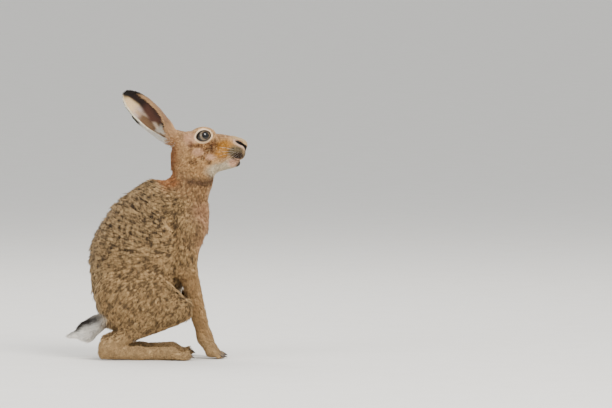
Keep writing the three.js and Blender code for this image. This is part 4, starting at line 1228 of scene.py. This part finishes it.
def tuft_tree():
    """Grows tufts on a surface: each stands at a point, leans the coat's way and is as long as its hair."""
    tree, given = new_tree("tufts_on_skin", "Coat", {
        "Skin": "Geometry", "Tuft": "Object", "Zone": "Int", "Tufts per m2": "Float", "Tuft width": "Float",
        "Untidy": "Float", "Seed": "Int", "Finish": "Material"})
    on = stored(tree, zone="INT", growth="FLOAT", OFBake="FLOAT_VECTOR", way="FLOAT_VECTOR", hair="FLOAT",
                blade="FLOAT_VECTOR", root_place="FLOAT_VECTOR")

    def any_number(low, high, salt):
        seed = add(tree, "ShaderNodeMath", {0: given["Seed"], 1: float(salt)}, operation="ADD")[0]
        return add(tree, "FunctionNodeRandomValue", {"Seed": seed, 2: low, 3: high}, data_type="FLOAT")[1]

    here = add(tree, "FunctionNodeCompare", {2: on["zone"], 3: given["Zone"]},
               data_type="INT", operation="EQUAL")["Result"]
    density = {0: on["growth"], 1: given["Tufts per m2"]}
    density = add(tree, "ShaderNodeMath", density, operation="MULTIPLY")[0]
    scatter = add(tree, "GeometryNodeDistributePointsOnFaces",
                  {"Mesh": given["Skin"], "Selection": here, "Density": density, "Seed": given["Seed"]})
    rooted = scatter["Points"]
    for name, kind, value in (("speck", "FLOAT", any_number(0.0, 1.0, 3)),
                              ("root_place", "FLOAT_VECTOR", on["OFBake"])):
        rooted = add(tree, "GeometryNodeStoreNamedAttribute",
                     {"Geometry": rooted, "Value": value, "Name": name}, data_type=kind, domain="POINT")[0]

    # Which way each leans: the coat's own way, a stray turn of its own, and a drift that neighbours share
    # over about 16 mm
    stray = add(tree, "FunctionNodeRandomValue", {"Seed": given["Seed"], 0: (-1, -1, -1), 1: (1, 1, 1)},
                data_type="FLOAT_VECTOR")[0]
    drift = {"Vector": add(tree, "GeometryNodeInputPosition")[0], "Scale": 62.0, "Detail": 1.0}
    drift = add(tree, "ShaderNodeTexNoise", drift)["Color"]
    drift = add(tree, "ShaderNodeVectorMath", {0: drift, 1: (0.5, 0.5, 0.5)}, operation="SUBTRACT")[0]
    stray = add(tree, "ShaderNodeVectorMath", {0: stray, "Scale": 0.5}, operation="SCALE")[0]
    drift = add(tree, "ShaderNodeVectorMath", {0: drift, "Scale": 1.3}, operation="SCALE")[0]
    stray = add(tree, "ShaderNodeVectorMath", {0: stray, 1: drift}, operation="ADD")[0]
    stray = add(tree, "ShaderNodeVectorMath", {0: stray, "Scale": given["Untidy"]}, operation="SCALE")[0]
    heading = add(tree, "ShaderNodeVectorMath", {0: on["way"], 1: stray}, operation="ADD")[0]
    turn = add(tree, "FunctionNodeAxesToRotation",
               {"Primary Axis": heading, "Secondary Axis": scatter["Normal"]},
               primary_axis="Z", secondary_axis="X")[0]

    # How large each is: full width where the hair is 5 mm long, and half where it is 1.2 mm or less
    length = {0: on["hair"], 1: any_number(0.78, 1.2, 5)}
    length = add(tree, "ShaderNodeMath", length, operation="MULTIPLY")[0]
    slim = add(tree, "ShaderNodeMapRange", span(on["hair"], 0.0012, 0.005, 0.5, 1.0))["Result"]
    width = given["Tuft width"]
    for share in (any_number(0.75, 1.25, 7), slim):
        width = add(tree, "ShaderNodeMath", {0: width, 1: share}, operation="MULTIPLY")[0]
    size = add(tree, "ShaderNodeCombineXYZ", {0: length, 1: width, 2: length})[0]
    tuft = add(tree, "GeometryNodeObjectInfo", {"Object": given["Tuft"]}, transform_space="ORIGINAL")
    planted = add(tree, "GeometryNodeInstanceOnPoints",
                  {"Points": rooted, "Instance": tuft["Geometry"], "Rotation": turn, "Scale": size})[0]
    solid = add(tree, "GeometryNodeRealizeInstances", {0: planted})[0]

    # Each tuft takes its place in the bake from its root, spread over a small patch
    patch = {0: on["blade"], 1: (0.5, 0.5, 0.0)}
    patch = add(tree, "ShaderNodeVectorMath", patch, operation="SUBTRACT")[0]
    patch = add(tree, "ShaderNodeVectorMath", {0: patch, "Scale": OFBAKE_PATCH}, operation="SCALE")[0]
    spot = add(tree, "ShaderNodeVectorMath", {0: on["root_place"], 1: patch}, operation="ADD")[0]
    baked = add(tree, "GeometryNodeStoreNamedAttribute", {"Geometry": solid, "Value": spot, "Name": "OFBake"},
                data_type="FLOAT2", domain="CORNER")[0]
    coat = add(tree, "GeometryNodeSetMaterial", {"Geometry": baked, "Material": given["Finish"]})[0]
    add(tree, "NodeGroupOutput", {0: coat})
    return tree


TREE = tuft_tree()


def plain_result(holder, tree, values):
    """Runs a tree on the holder and gives its result as a plain mesh."""
    modifier = holder.modifiers.new(tree.name, "NODES")
    modifier.node_group = tree
    for item in tree.interface.items_tree:
        if item.in_out == "INPUT" and item.name in values:
            modifier[item.identifier] = values[item.name]
    made = bpy.data.meshes.new_from_object(holder.evaluated_get(bpy.context.evaluated_depsgraph_get()))
    holder.modifiers.remove(modifier)
    bpy.data.objects.remove(holder)
    return made


def grow(name, source, tuft, slot, zone=0, density=0.0, width=0.0, untidy=0.2, seed=1):
    """A coat piece grown on the source, as a plain mesh of its own."""
    mesh = plain_result(add_object(name + "_holder", source.data.copy()), TREE, {
        "Tuft": tuft, "Zone": zone, "Tufts per m2": density / MM ** 2, "Tuft width": width * MM,
        "Untidy": untidy, "Seed": seed, "Finish": TUFTS})
    for spare in ("way", "hair", "growth", "zone", "root_place"):
        mesh.attributes.remove(mesh.attributes[spare])
    finish_piece(add_object(name, mesh), slot)


body_tuft = make_tuft("body_tuft", THREE_BLADES, 0.022)
face_tuft = make_tuft("face_tuft", TWO_BLADES, 0.03)
# Each coat piece: its slot and tuft, tufts to a square millimetre, a tuft's width in mm, and how untidy it is.
# A blade stands for a lock of hairs, because single ones are too fine to show.
COAT = {
    "face_left": ("coat_face", face_tuft, 0.36, 0.5, 0.15),
    "face_right": ("coat_face", face_tuft, 0.36, 0.5, 0.15),
    "neck": ("coat_rufous", body_tuft, 0.22, 0.8, 0.18),
    "chest": ("coat_rufous", body_tuft, 0.17, 0.95, 0.2),
    "back": ("coat_back", body_tuft, 0.17, 1.0, 0.22),
    "flank_left": ("coat_back", body_tuft, 0.15, 1.05, 0.2),
    "flank_right": ("coat_back", body_tuft, 0.15, 1.05, 0.2),
    "legs": ("coat_legs", face_tuft, 0.17, 0.85, 0.14),
    "tail": ("tail", body_tuft, 0.3, 0.9, 0.2),
}
for seed, (zone, (slot, tuft, density, width, untidy)) in enumerate(COAT.items(), 11):
    grow("coat_" + zone, skin, tuft, slot, zone=ZONES.index(zone), density=density, width=width,
         untidy=untidy, seed=seed)
for seed, (word, piece) in enumerate(ears.items(), 41):
    grow(f"coat_ear_{word}", piece, face_tuft, "ear", density=0.5, width=0.5, untidy=0.15, seed=seed)


# Whiskers: long stiff hairs in rows on the lip pads, and a few over each eye
def make_whisker(steps=6):
    points, faces = [], []
    for k in range(steps):
        u = k / steps
        radius = 0.0028 * (1 - 0.85 * u)
        for j in range(3):
            a = 2 * math.pi * j / 3
            points.append((0.09 * u * u + radius * math.cos(a), radius * math.sin(a), u))
    points.append((0.09, 0, 1))
    for k in range(steps - 1):
        faces += [(3 * k + j, 3 * k + (j + 1) % 3, 3 * k + 3 + (j + 1) % 3, 3 * k + 3 + j) for j in range(3)]
    last = 3 * steps - 3
    faces += [(last + j, last + (j + 1) % 3, 3 * steps) for j in range(3)]
    faces.append((2, 1, 0))
    piece = add_mesh("whisker", points, faces)
    outward_faces(piece)
    return piece


def on_skin(x, z, start=40.0):
    """The point of the left side's skin at a place in the side view."""
    y = np.full(1, start)
    for _ in range(30):
        y -= 0.7 * body_field(np.array([[x, y[0], z]]))
    return [x, y[0], z]


def whisker_roots():
    rng = np.random.default_rng(5)
    roots, ways, lengths = [], [], []
    for row in range(5):
        for spot in range(5):
            x, z = 97 + 4.2 * spot + 0.8 * (row % 2), 335 - 3.4 * row - 0.5 * spot
            roots.append(on_skin(x, z))
            ways.append([-0.75 + 0.2 * spot, 1.0, 0.25 - 0.16 * row])
            lengths.append(52 - 5.5 * spot)
    for spot in range(3):
        roots.append(on_skin(48 + 6 * spot, 368.5))
        ways.append([-0.5, 0.8, 0.9])
        lengths.append(24)
    roots, ways = np.array(roots), unit(np.array(ways) + rng.uniform(-0.12, 0.12, (len(ways), 3)))
    lengths = np.array(lengths) * rng.uniform(0.85, 1.15, len(lengths))
    flip = [1, -1, 1]
    roots, ways = np.concatenate([roots, roots * flip]), np.concatenate([ways, ways * flip])
    holder = add_object("whisker_roots", bpy.data.meshes.new("whisker_roots"))
    holder.data.from_pydata(place(roots - 0.8 * ways).tolist(), [], [])
    store(holder.data, "way", "FLOAT_VECTOR", ways)
    store(holder.data, "hair", "FLOAT", np.tile(lengths, 2) * MM)
    return holder


def whisker_tree():
    """Sets one whisker at each root, leaning its way and curved downwards."""
    tree, given = new_tree("whiskers_at_roots", "Whiskers",
                           {"Roots": "Geometry", "Whisker": "Object", "Finish": "Material"})
    on = stored(tree, way="FLOAT_VECTOR", hair="FLOAT")
    spots = add(tree, "GeometryNodeMeshToPoints", {"Mesh": given["Roots"]})[0]
    turn = add(tree, "FunctionNodeAxesToRotation", {"Primary Axis": on["way"], "Secondary Axis": (0, 0, -1)},
               primary_axis="Z", secondary_axis="X")[0]
    shape = add(tree, "GeometryNodeObjectInfo", {"Object": given["Whisker"]}, transform_space="ORIGINAL")
    planted = {"Points": spots, "Instance": shape["Geometry"], "Rotation": turn, "Scale": on["hair"]}
    solid = add(tree, "GeometryNodeInstanceOnPoints", planted)[0]
    solid = add(tree, "GeometryNodeRealizeInstances", {0: solid})[0]
    done = add(tree, "GeometryNodeSetMaterial", {"Geometry": solid, "Material": given["Finish"]})[0]
    add(tree, "NodeGroupOutput", {0: done})
    return tree


whisker = make_whisker()
whiskers = add_object("whiskers", plain_result(whisker_roots(), whisker_tree(),
                                               {"Whisker": whisker, "Finish": whisker_material()}))
finish_piece(whiskers, "whisker")
bpy.data.objects.remove(whisker)
for helper in (body_tuft, face_tuft):
    bpy.data.objects.remove(helper)

# Studio: a plain pale floor, soft light, and the camera at the photo's angle
FRAME_WIDE = 612 * 1.6 * MM
LENS, SENSOR = 500.0, 36.0
CAMERA_RISE = math.radians(3)
LOOK_AT = Vector(place([217.6, 0, 246.4]))


def make_floor(half=40.0):
    level = cad_box[0][2]
    corners = [(-half, -half, level), (half, -half, level), (half, half, level), (-half, half, level)]
    floor = add_mesh("floor", corners, [(0, 1, 2, 3)], shade_smooth=False)
    made, tree, shader = material("floor_matt_paper")
    tone = between(rgba("#e8e5df"), rgba("#e2ded6"), grain(tree, 60))
    tone = add(tree, "ShaderNodeMix", tone, **COLOUR)[MIXED]
    tree.links.new(tone, shader.inputs["Base Color"])
    shader.inputs["Roughness"].default_value = 0.9
    floor.data.materials.append(made)
    floor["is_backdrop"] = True


def add_light(name, spot, size, power, colour):
    light = bpy.data.lights.new(name, "AREA")
    light.shape = "DISK"
    light.size, light.energy, light.color = size, power, colour
    lamp = add_object(name, light)
    lamp.location = spot
    lamp.rotation_euler = (LOOK_AT - Vector(spot)).to_track_quat("-Z", "Y").to_euler()


make_floor()
add_light("key_soft", (1.6, -2.2, 2.6), 1.8, 150, (1.0, 0.98, 0.95))
add_light("fill_soft", (-2.4, -2.0, 1.4), 2.2, 60, (0.95, 0.98, 1.0))
add_light("top_soft", (-0.4, 1.6, 2.6), 2.0, 60, (1.0, 0.98, 0.95))
world = bpy.data.worlds.new("studio")
world.use_nodes = True
world.node_tree.nodes["Background"].inputs["Color"].default_value = (0.9, 0.92, 0.94, 1)
world.node_tree.nodes["Background"].inputs["Strength"].default_value = 1.0
bpy.context.scene.world = world

lens = bpy.data.cameras.new("camera")
lens.lens, lens.sensor_width, lens.clip_end = LENS, SENSOR, 200
camera = add_object("camera", lens)
distance = FRAME_WIDE * LENS / SENSOR
camera.location = LOOK_AT + distance * Vector((0, -math.cos(CAMERA_RISE), math.sin(CAMERA_RISE)))
camera.rotation_euler = (math.pi / 2 - CAMERA_RISE, 0, 0)
bpy.context.scene.camera = camera

boxes = {"cad": cad_box, "visual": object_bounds()}
plain = {name: [[float(value) for value in corner] for corner in box] for name, box in boxes.items()}
